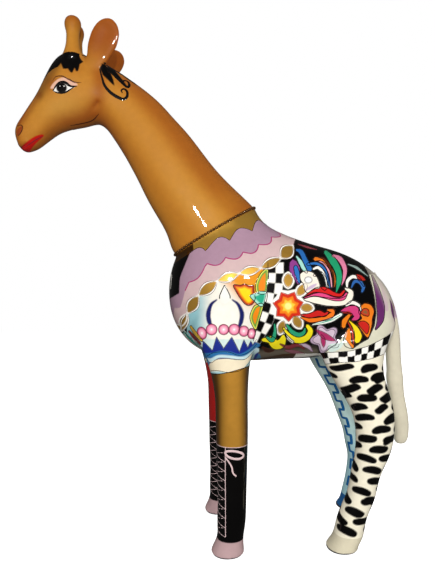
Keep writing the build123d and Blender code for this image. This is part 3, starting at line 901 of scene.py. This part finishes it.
# Yellow and orange drops with a mushroom-like curl and the orange flower.
orange = spline([(181, 308), (187, 312.5), (194.5, 310.5), (198.5, 303), (196.5, 294),
                 (195.5, 284), (191, 270), (183, 278.5), (177.5, 288), (183, 294),
                 (179.5, 301)], closed=True)
layers(orange, ((0, "eb7a18"),))
layers(spline([(182, 301), (186, 306), (191.5, 304.5), (192, 297), (186, 297.5)], closed=True),
       ((0, "c23a1c"), (-2.4, "8a5a34")))
layers(spline([(178.5, 288), (186, 290.5), (192.3, 285), (190, 274.5), (184, 280)], closed=True),
       ((0, "c31f16"),))
stroke([(168, 298), (162, 290.5), (160.5, 283)], [2, 3.5, 2.6], "ee7f16")
stroke([(167.5, 281), (166, 272), (166, 263), (172, 258.5)], [1.5, 4.6, 5, 2.6], "ee7f16")
stroke([(167.5, 291), (175.5, 281.5), (179, 272), (177, 265)], [0.8, 3.2, 4.6, 3.4], "f6d313")
side_line(spline([(165, 291), (171, 279), (172.5, 268), (173, 262)]), 2.0, "crimson", taper=True)
stroke([(163.5, 309), (171, 313.3), (179, 310), (182, 303)], [1.2, 2.6, 2.4, 1], "f3efe4")
stroke([(157.5, 303), (166, 305), (175, 303.5), (176.5, 295.5), (171.5, 292)],
       [0.8, 4, 6, 4.2, 1.4], "d03c78")
stroke([(160, 301), (167, 301.5), (171, 298)], [0.5, 1.6, 0.8], "b8241a", None)

# ---- rump and thigh ----
DRAPE = [(192, 348), (196, 334), (199.5, 318), (201, 300), (199, 285), (191.5, 268.5), (180, 262),
         (172, 256), (160, 272), (157, 268), (150, 261), (140, 254), (131, 247), (124, 236),
         (260, 236), (260, 352)]
sides.fill(DRAPE, "d5d2bb")
sides.fill(spline([(142, 261), (158, 265), (165, 277), (158, 258), (144, 252)], closed=True),
           "cbdcd4")
side_line(DRAPE[:13], 0.8, "black")
stroke([(196, 347), (202, 330), (206.5, 309), (206, 292), (200.5, 280)], [0.8, 3.0, 5.2, 4.2, 0.8],
       "662a66")
stroke([(206, 341), (212.5, 322), (214.5, 304)], [1.6, 3.2, 2], "c9a5bb", None)
everywhere(is_torso * smoothstep(0.35, 0.65, N[:, 0]) * (X > 196) * (Z > 262), colour("d9cfc0"))
everywhere(is_torso * smoothstep(217, 222, X) * (Z > 262) * (np.abs(Y) < 30), colour("d9cfc0"))
rear_strokes = Canvas(is_torso & (N[:, 0] > 0.2) & (X > 190) & (Z > 262),
                      np.stack([np.abs(Y), Z], axis=1))
for one, two, wide, tone in (((13, 336), (24, 292), 8, "7a3f7e"),
                             ((28, 330), (37, 285), 9, "b98fb4"),
                             ((44, 318), (48, 280), 7, "662a66")):
    rear_strokes.fill(leaf(one, two, wide), tone)


def leg_coordinates(front, left, top):
    """Points of one leg with their angle round it; 0 is the back and pi the front."""
    side = -1 if left else 1
    chosen = (Z < top) & (Y * side > 18) & ~is_tail
    chosen &= (X < 100) if front else (X > 100)
    cx, cy = leg_axis(front, left)(Z)
    angle = np.arctan2((Y - cy) * side, P[:, 0] - cx) % (2 * np.pi)
    return chosen, angle


# Checker band round the top of the hind legs: its two edges on the side sheet.
BAND_LOW = ([118, 138, 160, 176, 196, 212, 222], [232, 237, 239.2, 240, 244, 250, 256])
BAND_HIGH = ([118, 128, 160, 170, 190, 205, 213, 222],
             [250, 250.5, 252.5, 253.5, 259, 266, 271, 278])
BAND_CHECKS = 20
for left in (True, False):
    chosen, angle = leg_coordinates(False, left, 300)
    band_low = np.interp(S, *BAND_LOW)
    band_high = np.interp(S, *BAND_HIGH)
    share = (T - band_low) / (band_high - band_low)
    ids = np.where(chosen & (T < band_low))[0]
    lay(ids, np.ones(len(ids)), IVORY if left else colour("d0efec"))
    ids = np.where(chosen & (share >= 0) & (share <= 1))[0]
    column = np.sin(angle[ids] * BAND_CHECKS / 2) * np.where(share[ids] < 0.5, 6, -6)
    lay(ids, np.ones(len(ids)), WHITE)
    lay(ids, np.clip(0.5 + column, 0, 1), BLACK)
    for levels in (BAND_LOW, BAND_HIGH):
        line = list(zip(*levels))[1:-1]
        ribbon(flank_charts[0 if left else 1], dense(line), 0.8, "black")

# Black patches on the left hind leg, in staggered rows.
def girth(z):
    """Radius of the hind leg, for laying out the patches."""
    return np.interp(z, [30, 60, 120, 180, 240], [16, 16.5, 20, 24, 28])


chosen, angle = leg_coordinates(False, True, 240)
patches = Canvas(chosen & (T < np.interp(S, *BAND_LOW) - 1.5),
                 np.stack([(angle - np.pi) * girth(Z), Z], axis=1))
PATCH_PITCH = 33
ROW_PITCH = 12.8
TOP_ROW = 231.0
LAST_ROW = 26
row = 0
height = TOP_ROW
while height > LAST_ROW:
    round_leg = 2 * math.pi * girth(height)
    turns = round(round_leg / PATCH_PITCH)
    for k in range(turns + 1):
        s = ((k + 0.5 * (row % 2)) / turns - 0.5) * round_leg + random.uniform(-2, 2)
        z = height + random.uniform(-1.5, 1.5)
        long = random.uniform(12.0, 14.6)
        tall = random.uniform(4.6, 5.4)
        lean = (-0.20 if height > 125 else 0.16) + random.uniform(-0.07, 0.07)
        waist = random.uniform(0.0, 0.16)
        t = np.linspace(0, 2 * np.pi, 26, endpoint=False)
        u = long * np.cos(t)
        v = tall * np.sign(np.sin(t)) * np.abs(np.sin(t)) ** 0.8 * (1 - waist * np.sin(t) ** 4)
        v += 1.0 * np.sin(u / long * 2.6 + waist * 20)
        shape = np.stack([s + u - lean * v, z + v + lean * u], axis=1)
        for wrap in (-1, 0, 1):
            moved = shape + (wrap * round_leg, 0)
            if moved[:, 0].max() > -92 and moved[:, 0].min() < 92:
                patches.fill(moved, BLACK)
    height -= ROW_PITCH
    row += 1

# Stepped blue line down the right hind leg.
chosen, angle = leg_coordinates(False, False, 236)
ids = np.where(chosen)[0]
lay(ids, 0.5 * smoothstep(150, 60, Z[ids]), colour("6fb9d2"))
right_hind = leg_chart(False, False)
for middle in (1.9, 3.72, 5.4):
    corners = []
    for k in range(15):
        offset = 3.2 if k % 2 else -3.2
        corners += [(offset, 228 - 13 * k), (offset, 215 - 13 * k)]
    ribbon(lambda u, z: right_hind(middle + u / 20, z), dense(corners, 1.3), 4.2, "blue")

# ---- forelegs: gold or red sleeve, then a laced boot ----
BOOT_TOP = 136
SLEEVE_TOP = 227
SLEEVE_SLOPE = 0.24
LACE_REACH = 1.10           # half the laced opening, in radians round the leg
LACE_STEP = 11.6
ring = [2 * math.pi * k / 60 for k in range(60)]
for left in (True, False):
    chosen, angle = leg_coordinates(True, left, 246)
    ids = np.where(chosen)[0]
    below = edge(Z[ids] - SLEEVE_TOP - SLEEVE_SLOPE * (X[ids] - 4))
    if left:
        # Painted light and shade: the gold sleeve is dark brown-gold all round and bright gold on
        # the side that faces outward.
        sleeve_lit_share = np.clip(np.sin(angle[ids]), 0, 1)
        lay(ids, below, colour("573811"), 0.35)
        lay(ids, below * smoothstep(0.45, 1.0, sleeve_lit_share), colour("cf9438"), 0.45)
    else:
        lay(ids, below, colour("a81a18"))
    lay(ids, edge(Z[ids] - BOOT_TOP), BLACK)
    chart = leg_chart(True, left)
    ribbon(chart, [(a, BOOT_TOP) for a in ring], 0.8, "rose", closed=True)
    sleeve = [(a, SLEEVE_TOP + SLEEVE_SLOPE * (9.5 + 20 * math.cos(a))) for a in ring]
    ribbon(chart, sleeve, 0.9, "black", closed=True)
    for turn in (-1, 1):
        rim = [(math.pi + turn * LACE_REACH, z) for z in np.linspace(BOOT_TOP, 26, 50)]
        ribbon(chart, rim, 1.0, "rose")
    for k in range(9):
        high = 130 - k * LACE_STEP
        for turn in (-1, 1):
            lace = [(math.pi + turn * LACE_REACH * (1 - j / 4), high - LACE_STEP * j / 8)
                    for j in range(9)]
            ribbon(chart, lace, 0.75, "rose", lift=0.2 if turn > 0 else 0.12)
    knot = math.pi - LACE_REACH
    loop = []
    for k in range(30):
        t = 2 * math.pi * k / 30
        loop.append((knot - 0.60 + 0.60 * math.cos(t),
                     127 + 4.6 * math.sin(t) + 2.0 * math.cos(t)))
    ribbon(chart, loop, 2.7, "rose", lift=0.25, closed=True)
    bow_tail = spline([(knot, 123.5), (knot - 0.25, 118), (knot - 0.42, 112), (knot - 0.5, 105),
                       (knot - 0.7, 101)])
    ribbon(chart, bow_tail, 1.9, "rose", lift=0.2)

# Hooves.
HOOF_TONES = {(True, True): "bf9fa0", (True, False): "bf9fa0", (False, True): "dfd6ba",
              (False, False): "1b5f9c"}
for (front, left), tone in HOOF_TONES.items():
    own = (Z < 25) & (np.abs(Y) > 20) & ((X < 100) == front) & ((Y < 0) == left)
    everywhere(edge(Z - 19) * own, colour(tone))

# Tail: lilac above, then ivory.
everywhere(is_tail * 1.0, colour("e2dac2"))
everywhere(is_tail * smoothstep(287, 293, Z), colour("bb9bb0"))
everywhere(is_tail * edge(np.abs(Z - 313) - 9) * (np.abs(N[:, 1]) > 0.25), colour("ab3463"))


# ---- gold almond chain round the shoulders ----
def almond(one, two, size):
    body = leaf(one, two, size, steps=14, fullness=0.9)
    sides.fill(body, WHITE, grow=0.8)
    sides.fill(body, GOLD, 0.6, grow=-0.7)
    for extra, width, tone in ((0.4, 1.3, "white"), (3.0, 0.6, "umber"), (-1.8, 0.5, "umber")):
        rim = leaf(one, two, size + extra, steps=14, fullness=0.9)
        side_line(rim, width, tone, closed=True)


ALMOND_WIDTHS = (8, 13, 12.5, 10.5, 10, 11, 16)
for one, two, size in zip(CHAIN_LINE[1:], CHAIN_LINE[2:], ALMOND_WIDTHS):
    almond(one, two, size)
NECK_GIRTH = 62.0
front_chest = Canvas(is_torso & (round_neck > 2.3) & (from_chain > 50) & (from_chain < 110),
                     np.stack([round_neck * NECK_GIRTH, from_chain], axis=1))
for one, two in (((2.70, 74), (2.92, 84)), ((2.92, 84), (3.14, 86))):
    body = leaf((one[0] * NECK_GIRTH, one[1]), (two[0] * NECK_GIRTH, two[1]), 7)
    front_chest.fill(body, WHITE, grow=1.6)
    front_chest.fill(body, GOLD, 0.6, grow=-0.2)

# Wavy magenta line under the lilac, and the gold band's black edge.
for side in (-1, 1):
    line = []
    for k in range(160):
        a = 0.05 + 2.55 * k / 159
        line.append((side * a, float(wave_edge(a))))
    ribbon(collar, line, 1.6, "magenta")
    line = [(side * 2.5 * k / 200, float(scallop(2.5 * k / 200))) for k in range(201)]
    ribbon(collar, line, 0.8, "black")


# ---- chest front: white strokes and petals on black ----
def chest(y, z):
    return hit((-160 + SX, y, z), (1, 0, 0))


for y0 in (-16, -5.5, 5.5, 16):
    line = [(y0 * 0.8, 366 - abs(y0)), (y0, 346), (y0 * 1.15, 330)]
    ribbon(chest, spline(line), 3.0, "white", taper=True)
chest_canvas = Canvas((N[:, 0] < -0.3) & (X < 0) & (Z > 240) & (Z < 300) & is_torso,
                      np.stack([Y, Z], axis=1))
CHEST_PETALS = ((-22, 262, -5, "1f8f7d"), (-12, 256, -2, "c4261e"), (0, 254, 0, "e6b32c"),
                (12, 256, 2, "c4261e"), (22, 262, 5, "1f8f7d"))
for y0, z0, lean, tone in CHEST_PETALS:
    shape = leaf((y0 - lean, z0 - 15), (y0 + lean, z0 + 15), 9)
    chest_canvas.fill(shape, tone)
    ribbon(chest, dense(shape, 1.6, True), 0.6, "white", closed=True)

# ---- face ----
face = Canvas((X < -112) & (Z > 500) & (np.abs(Y) > 2), FACE_SHEET)


def face_line(line, width, tone, taper=True, closed=False, smooth=True):
    if smooth:
        line = spline(line, closed, steps=5)
    draw(face_charts, line, width, tone, closed, taper, step=1.0)


not_horn = np.ones(len(P), dtype=bool)
for cx, cy in ((-192.5, -13), (-194.5, 13)):
    not_horn &= ~((np.hypot(X - cx, Y - cy) < 15) & (Z > 637.5) & (np.abs(Y) > 1.5))
FORELOCK = [(-215, 660), (-176, 660), (-178, 637), (-178.5, 629), (-183, 626), (-185, 617),
            (-188, 616.5), (-190, 621), (-193, 614.5), (-195.5, 615.5), (-199, 620),
            (-205, 620), (-208, 627), (-214, 620), (-219.5, 612), (-225, 603),
            (-230.5, 594.5), (-236, 586), (-250, 606), (-226, 640)]
narrowing = (X > -206) | (np.abs(Y) < 4 + (Z - 580) * 0.6)
Canvas((X < -150) & narrowing & not_horn & ~is_ear, FACE_SHEET).fill(FORELOCK, BLACK)
crown = (X > -186) & (X < -128) & (np.abs(Y) < 17) & (Z > 606) & not_horn
everywhere(crown * smoothstep(0.2, 0.5, N[:, 2] + 0.4 * N[:, 0]), BLACK)

face.fill(spline([(-221, 594), (-216, 603), (-206, 608.5), (-196, 605.5), (-186, 598.5),
                  (-200, 597)], closed=True), "dcae96")
eye = spline([(-218, 591.3), (-213.5, 598), (-207.5, 601.4), (-201.5, 600.6), (-195, 596.3),
              (-190, 596), (-196, 592.8), (-201, 589.8), (-207, 588.6), (-213, 589.2)],
             closed=True)
face.fill(eye, "ece9e2")
face.fill(disc((-207, 595), 7.0), "15110f")
face.fill(disc((-207, 595), 5.6), "050404")
face_line([(-218.5, 591), (-213.5, 598.6), (-207.5, 602.4), (-201.5, 601.6), (-195.5, 597.2),
           (-187, 597)], 3.8, "black")
face_line([(-218, 591), (-213, 588.6), (-207, 588), (-201, 589.4), (-196, 592.6), (-190, 596.4)],
          2.3, "black")
face_line([(-219, 604), (-214.5, 609.5), (-206, 610.3), (-198, 606), (-189, 601)], 1.5, "umber")
face_line([(-198, 607.5), (-191, 603), (-186, 601.8), (-181, 602)], 1.2, "umber")
# Painted highlights: two white glints on the iris.
face_line([(-204.4, 597.2), (-203.2, 597.0)], 1.7, "white", taper=False, smooth=False)
face_line([(-209.4, 597.4), (-208.6, 597.3)], 1.1, "white", taper=False, smooth=False)

LIPS = spline([(-264, 506), (-259.5, 517), (-252.5, 524), (-244, 530), (-235, 533.5),
               (-230.5, 532.5), (-234, 528), (-240.5, 522), (-246, 515.5), (-250, 509),
               (-254, 504)], closed=True)
Canvas((X < -222) & (Z > 500) & (Z < 545), FACE_SHEET).fill(LIPS, "b8140f")
face_line([(-257, 515.5), (-249, 521), (-241, 526.5), (-231.5, 531)], 0.9, "plum")
face.fill(leaf((-265.5, 531.5), (-258.5, 545), 6, 0.8), "8a3d14")
face_line([(-265, 544.5), (-260.5, 546), (-258.3, 543), (-260, 537), (-264, 532)], 1.4, "umber",
          taper=False)
face_line([(-196, 545), (-175, 549), (-165, 553), (-158, 561)], 2.2, "umber")

CURLS = (
    ([(-157, 620), (-153.5, 607), (-150.5, 598), (-143, 589), (-134, 583), (-126, 580),
      (-121, 583.5), (-121, 590), (-125, 593.5), (-128.5, 591.5), (-127, 588)], 4.4),
    ([(-152, 624), (-146, 618), (-138, 611), (-128, 602), (-121, 596), (-118, 598),
      (-119.5, 602.5), (-124.5, 604.5), (-127, 601.5), (-124.5, 599)], 4.0),
)
for line, width in CURLS:
    face_line(line, width, "black")
face_line([(-152, 628), (-137, 620.5), (-121, 607.5), (-107, 599)], 4.6, "black")
# Hair that the curls grow from, behind the ear.
NAPE_TUFT = [(-157, 621), (-151, 631), (-143, 625), (-137, 618), (-138, 614), (-146, 615),
             (-147, 611), (-141, 603), (-138, 598), (-141, 600), (-149, 608), (-153, 612)]
Canvas((X < -112) & (Z > 590) & ~is_ear, FACE_SHEET).fill(NAPE_TUFT, BLACK)
nape_hair = Canvas((X < -100) & (Z > 585) & ~is_ear & (np.abs(Y) > 2), FACE_SHEET)
nape_hair.fill(leaf((-155, 630), (-137.5, 598), 7), BLACK)
NAPE_STRANDS = (
    ([(-152, 629), (-141, 618), (-130, 606), (-122, 597)], [3.4, 3.0, 2.2, 1.2]),
    ([(-150, 632), (-136, 622), (-121, 609), (-108, 599)], [2.6, 2.6, 2.0, 0.8]),
)
for spine, widths in NAPE_STRANDS:
    nape_hair.fill(plume(spine, widths), BLACK)


# ---- pieces ----
def enamel(name, patterned=True, tone=(0.8, 0.6, 0.4), metallic=0.0, rough=0.38):
    """Glossy lacquered enamel; the pattern comes from the skin's painted colours."""
    material = bpy.data.materials.new(name)
    material.use_nodes = True
    nodes = material.node_tree.nodes
    links = material.node_tree.links
    shader = nodes["Principled BSDF"]
    where = nodes.new("ShaderNodeTexCoord")
    mottle = nodes.new("ShaderNodeTexNoise")
    mottle.inputs["Scale"].default_value = 140
    mottle.inputs["Detail"].default_value = 4
    links.new(where.outputs["Object"], mottle.inputs["Vector"])
    shade = nodes.new("ShaderNodeMapRange")
    shade.inputs["To Min"].default_value = 0.90
    shade.inputs["To Max"].default_value = 1.08
    links.new(mottle.outputs["Fac"], shade.inputs["Value"])
    mix = nodes.new("ShaderNodeMix")
    mix.data_type = "RGBA"
    mix.blend_type = "MULTIPLY"
    mix.inputs["Factor"].default_value = 1.0
    links.new(shade.outputs["Result"], mix.inputs["B"])
    if patterned:
        source = nodes.new("ShaderNodeAttribute")
        source.attribute_name = "paint"
        links.new(source.outputs["Color"], mix.inputs["A"])
        gilt = nodes.new("ShaderNodeAttribute")
        gilt.attribute_name = "gilt"
        links.new(gilt.outputs["Fac"], shader.inputs["Metallic"])
    else:
        mix.inputs["A"].default_value = (*tone, 1)
        shader.inputs["Metallic"].default_value = metallic
    links.new(mix.outputs["Result"], shader.inputs["Base Color"])
    uneven = nodes.new("ShaderNodeTexNoise")
    uneven.inputs["Scale"].default_value = 60
    links.new(where.outputs["Object"], uneven.inputs["Vector"])
    rough_range = nodes.new("ShaderNodeMapRange")
    rough_range.inputs["To Min"].default_value = rough * 0.7
    rough_range.inputs["To Max"].default_value = rough * 1.5
    links.new(uneven.outputs["Fac"], rough_range.inputs["Value"])
    links.new(rough_range.outputs["Result"], shader.inputs["Roughness"])
    shader.inputs["Coat Weight"].default_value = 1.0
    shader.inputs["Coat Roughness"].default_value = 0.03
    shader.inputs["Specular IOR Level"].default_value = 0.1
    bump = nodes.new("ShaderNodeBump")
    bump.inputs["Strength"].default_value = 0.06
    bump.inputs["Distance"].default_value = 0.0004
    links.new(uneven.outputs["Fac"], bump.inputs["Height"])
    links.new(bump.outputs["Normal"], shader.inputs["Normal"])
    return material


def make_mesh(name, points, faces, normals=None, colours=None, gilt=None):
    mesh = bpy.data.meshes.new(name)
    mesh.from_pydata((np.asarray(points) * MM).tolist(), [], [tuple(f) for f in faces])
    mesh.shade_smooth()
    if colours is not None:
        attribute = mesh.color_attributes.new("paint", "FLOAT_COLOR", "POINT")
        attribute.data.foreach_set(
            "color", np.concatenate([colours, np.ones((len(colours), 1))], axis=1).ravel()
        )
        value = mesh.attributes.new("gilt", "FLOAT", "POINT")
        value.data.foreach_set("value", gilt)
    if normals is not None:
        mesh.normals_split_custom_set_from_vertices(np.asarray(normals).tolist())
    return mesh


def add_piece(name, mesh, material, nodes=()):
    obj = bpy.data.objects.new(name, mesh)
    bpy.context.scene.collection.objects.link(obj)
    mesh.materials.append(material)
    if nodes:
        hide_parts(*nodes)
    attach(obj, "root")
    return obj


centres = P[Q].mean(axis=1)
cad_labels = np.array(cad_labels)
nearest = np.array([cad_tree.find_nearest(Vector(c))[2] for c in centres])
face_label = cad_labels[nearest]

body_enamel = enamel("painted_enamel")
for index, name in enumerate(CASTINGS):
    faces = Q[face_label == index]
    used = np.unique(faces)
    renumber = np.zeros(len(P), dtype=np.int64)
    renumber[used] = np.arange(len(used))
    mesh = make_mesh("skin_" + name, P[used], renumber[faces], N[used], paint[used], metal[used])
    add_piece("skin_" + name, mesh, body_enamel, (name,))
bpy.data.objects.remove(skin_object)

RIBBON_TONES = {
    "black": ("0c0b0b", 0.0), "white": ("f6f3ea", 0.0), "navy": ("1b2a6b", 0.0),
    "plum": ("5a2230", 0.0), "magenta": ("a52a6a", 0.0), "rose": ("dcc0c0", 0.0),
    "blue": ("1762a0", 0.0), "umber": ("4c220c", 0.0), "jade": ("3fae8c", 0.0),
    "crimson": ("b8241a", 0.0), "slate": ("4a4d5c", 0.0),
}
for tone, store in ribbons.items():
    code, shine = RIBBON_TONES[tone]
    mesh = make_mesh("enamel_lines_" + tone, store["v"], store["f"], store["n"])
    material = enamel("enamel_" + tone, False, tuple(colour(code)), shine)
    add_piece("enamel_lines_" + tone, mesh, material)

# Bead chain round the foot of the neck.
BEAD_RADIUS = 2.1
bead_points = []
bead_faces = []
bm = bmesh.new()
bmesh.ops.create_icosphere(bm, subdivisions=2, radius=BEAD_RADIUS)
ball = [np.array(v.co) for v in bm.verts]
ball_faces = [[v.index for v in f.verts] for f in bm.faces]
bm.free()
ring_spots = []
for k in range(720):
    spot = collar(2 * math.pi * k / 720, -BEAD_RADIUS)
    if spot is not None:
        ring_spots.append(spot[0] + spot[1] * 0.7)
ring_spots = np.array(ring_spots)
gaps = np.linalg.norm(np.roll(ring_spots, -1, axis=0) - ring_spots, axis=1)
travel = np.concatenate([[0], np.cumsum(gaps)])
bead_count = int(travel[-1] / (2 * BEAD_RADIUS))
closed_spots = np.vstack([ring_spots, ring_spots[:1]])
for k in range(bead_count):
    at = travel[-1] * k / bead_count
    centre = np.array([np.interp(at, travel, closed_spots[:, i]) for i in range(3)])
    base = len(bead_points)
    bead_points += [centre + v for v in ball]
    bead_faces += [[base + i for i in f] for f in ball_faces]
bead_mesh = make_mesh("bead_chain", bead_points, bead_faces)
bronze = enamel("bronze", False, tuple(colour("7a5530")), 0.8, 0.3)
add_piece("bead_chain", bead_mesh, bronze, ("neck_bead_chain",))


# ---- plain materials for what stays as CAD ----
def plain(name, tone, metallic, rough, scale, contrast, stretch=(1, 1, 1)):
    material = bpy.data.materials.new(name)
    material.use_nodes = True
    nodes = material.node_tree.nodes
    links = material.node_tree.links
    shader = nodes["Principled BSDF"]
    where = nodes.new("ShaderNodeTexCoord")
    mapping = nodes.new("ShaderNodeMapping")
    mapping.inputs["Scale"].default_value = stretch
    noise = nodes.new("ShaderNodeTexNoise")
    noise.inputs["Scale"].default_value = scale
    noise.inputs["Detail"].default_value = 6
    ramp = nodes.new("ShaderNodeValToRGB")
    ramp.color_ramp.elements[0].color = (*(np.array(tone) * (1 - contrast)), 1)
    ramp.color_ramp.elements[1].color = (*(np.array(tone) * (1 + contrast)), 1)
    links.new(where.outputs["Object"], mapping.inputs["Vector"])
    links.new(mapping.outputs["Vector"], noise.inputs["Vector"])
    links.new(noise.outputs["Fac"], ramp.inputs["Fac"])
    links.new(ramp.outputs["Color"], shader.inputs["Base Color"])
    bump = nodes.new("ShaderNodeBump")
    bump.inputs["Strength"].default_value = 0.3
    bump.inputs["Distance"].default_value = 0.0005
    links.new(noise.outputs["Fac"], bump.inputs["Height"])
    links.new(bump.outputs["Normal"], shader.inputs["Normal"])
    shader.inputs["Metallic"].default_value = metallic
    shader.inputs["Roughness"].default_value = rough
    return material


PLAIN = {
    "steel": plain("steel", (0.5, 0.5, 0.51), 1.0, 0.35, 900, 0.12, (1, 1, 0.05)),
    "timber": plain("timber", (0.55, 0.38, 0.2), 0.0, 0.7, 120, 0.35, (0.1, 1, 1)),
    "bare_resin": plain("bare_resin", (0.68, 0.62, 0.5), 0.0, 0.6, 200, 0.08),
    "felt": plain("felt", (0.06, 0.06, 0.065), 0.0, 1.0, 2500, 0.5),
}
for name, node in frame["nodes"].items():
    if SLOT_OF[name] in PLAIN:
        node.data.materials.clear()
        node.data.materials.append(PLAIN[SLOT_OF[name]])

# ---- studio ----
def area_light(name, place, target, size, power, glossy=True):
    data = bpy.data.lights.new(name, "AREA")
    data.shape = "DISK"
    data.size = size
    data.energy = power
    obj = bpy.data.objects.new(name, data)
    obj.location = place
    obj.rotation_euler = (Vector(target) - Vector(place)).to_track_quat("-Z", "Y").to_euler()
    obj.visible_glossy = glossy
    bpy.context.scene.collection.objects.link(obj)


area_light("flash_left", (-0.20, -1.05, 0.62), (0, 0, 0.36), 0.055, 3.2)
area_light("flash_right", (0.06, -1.05, 0.62), (0, 0, 0.36), 0.055, 3.1)
area_light("softbox_front", (-0.9, -1.6, 1.0), (0, 0, 0.3), 1.2, 9, False)
area_light("softbox_low", (0.9, -1.5, 0.25), (0.1, 0, 0.2), 1.0, 9, False)
area_light("softbox_back", (1.0, 1.2, 1.2), (0, 0, 0.35), 1.0, 12, False)
area_light("softbox_top", (-0.2, 0.1, 1.9), (0, 0, 0.3), 0.9, 5, False)
area_light("sheen_back", (-0.3, 1.6, 1.2), (0, 0, 0.35), 0.05, 4)

REACH = 3000                # half the floor's side
floor_mesh = make_mesh("floor", [(-REACH, -REACH, 0), (REACH, -REACH, 0), (REACH, REACH, 0),
                                 (-REACH, REACH, 0)], [(0, 1, 2, 3)])
floor = bpy.data.objects.new("floor", floor_mesh)
bpy.context.scene.collection.objects.link(floor)
floor_paper = plain("floor_paper", (0.86, 0.86, 0.85), 0.0, 0.9, 8, 0.01)
floor_shader = floor_paper.node_tree.nodes["Principled BSDF"]
floor_shader.inputs["Emission Color"].default_value = (1, 1, 1, 1)
floor_shader.inputs["Emission Strength"].default_value = 0.76
floor_mesh.materials.append(floor_paper)
floor.visible_diffuse = False
floor.visible_glossy = False

world = bpy.data.worlds.new("studio")
bpy.context.scene.world = world
world.use_nodes = True
world_nodes = world.node_tree.nodes
world_links = world.node_tree.links
backdrop = world_nodes["Background"]
backdrop.inputs["Color"].default_value = (1, 1, 1, 1)
fill = world_nodes.new("ShaderNodeBackground")
fill.inputs["Color"].default_value = (1, 0.98, 0.95, 1)
fill.inputs["Strength"].default_value = 0.30
mirrored = world_nodes.new("ShaderNodeBackground")
mirrored.inputs["Color"].default_value = (1, 0.98, 0.95, 1)
mirrored.inputs["Strength"].default_value = 0.04
ray = world_nodes.new("ShaderNodeLightPath")
lit = world_nodes.new("ShaderNodeMixShader")
shown = world_nodes.new("ShaderNodeMixShader")
world_links.new(ray.outputs["Is Diffuse Ray"], lit.inputs["Fac"])
world_links.new(mirrored.outputs["Background"], lit.inputs[1])
world_links.new(fill.outputs["Background"], lit.inputs[2])
world_links.new(ray.outputs["Is Camera Ray"], shown.inputs["Fac"])
world_links.new(lit.outputs["Shader"], shown.inputs[1])
world_links.new(backdrop.outputs["Background"], shown.inputs[2])
world_links.new(shown.outputs["Shader"], world_nodes["World Output"].inputs["Surface"])
bpy.context.scene.view_settings.view_transform = "Standard"

YAW = math.radians(4)
camera_data = bpy.data.cameras.new("camera")
camera_data.lens = 36 * 450 / 580
camera_data.sensor_width = 36
camera_data.clip_start = 0.01
camera = bpy.data.objects.new("camera", camera_data)
camera.location = (-0.621 * math.sin(YAW) + SX * MM, -0.621 * math.cos(YAW), 0.329)
camera.rotation_euler = (math.radians(90), 0, -YAW)
bpy.context.scene.collection.objects.link(camera)
bpy.context.scene.camera = camera
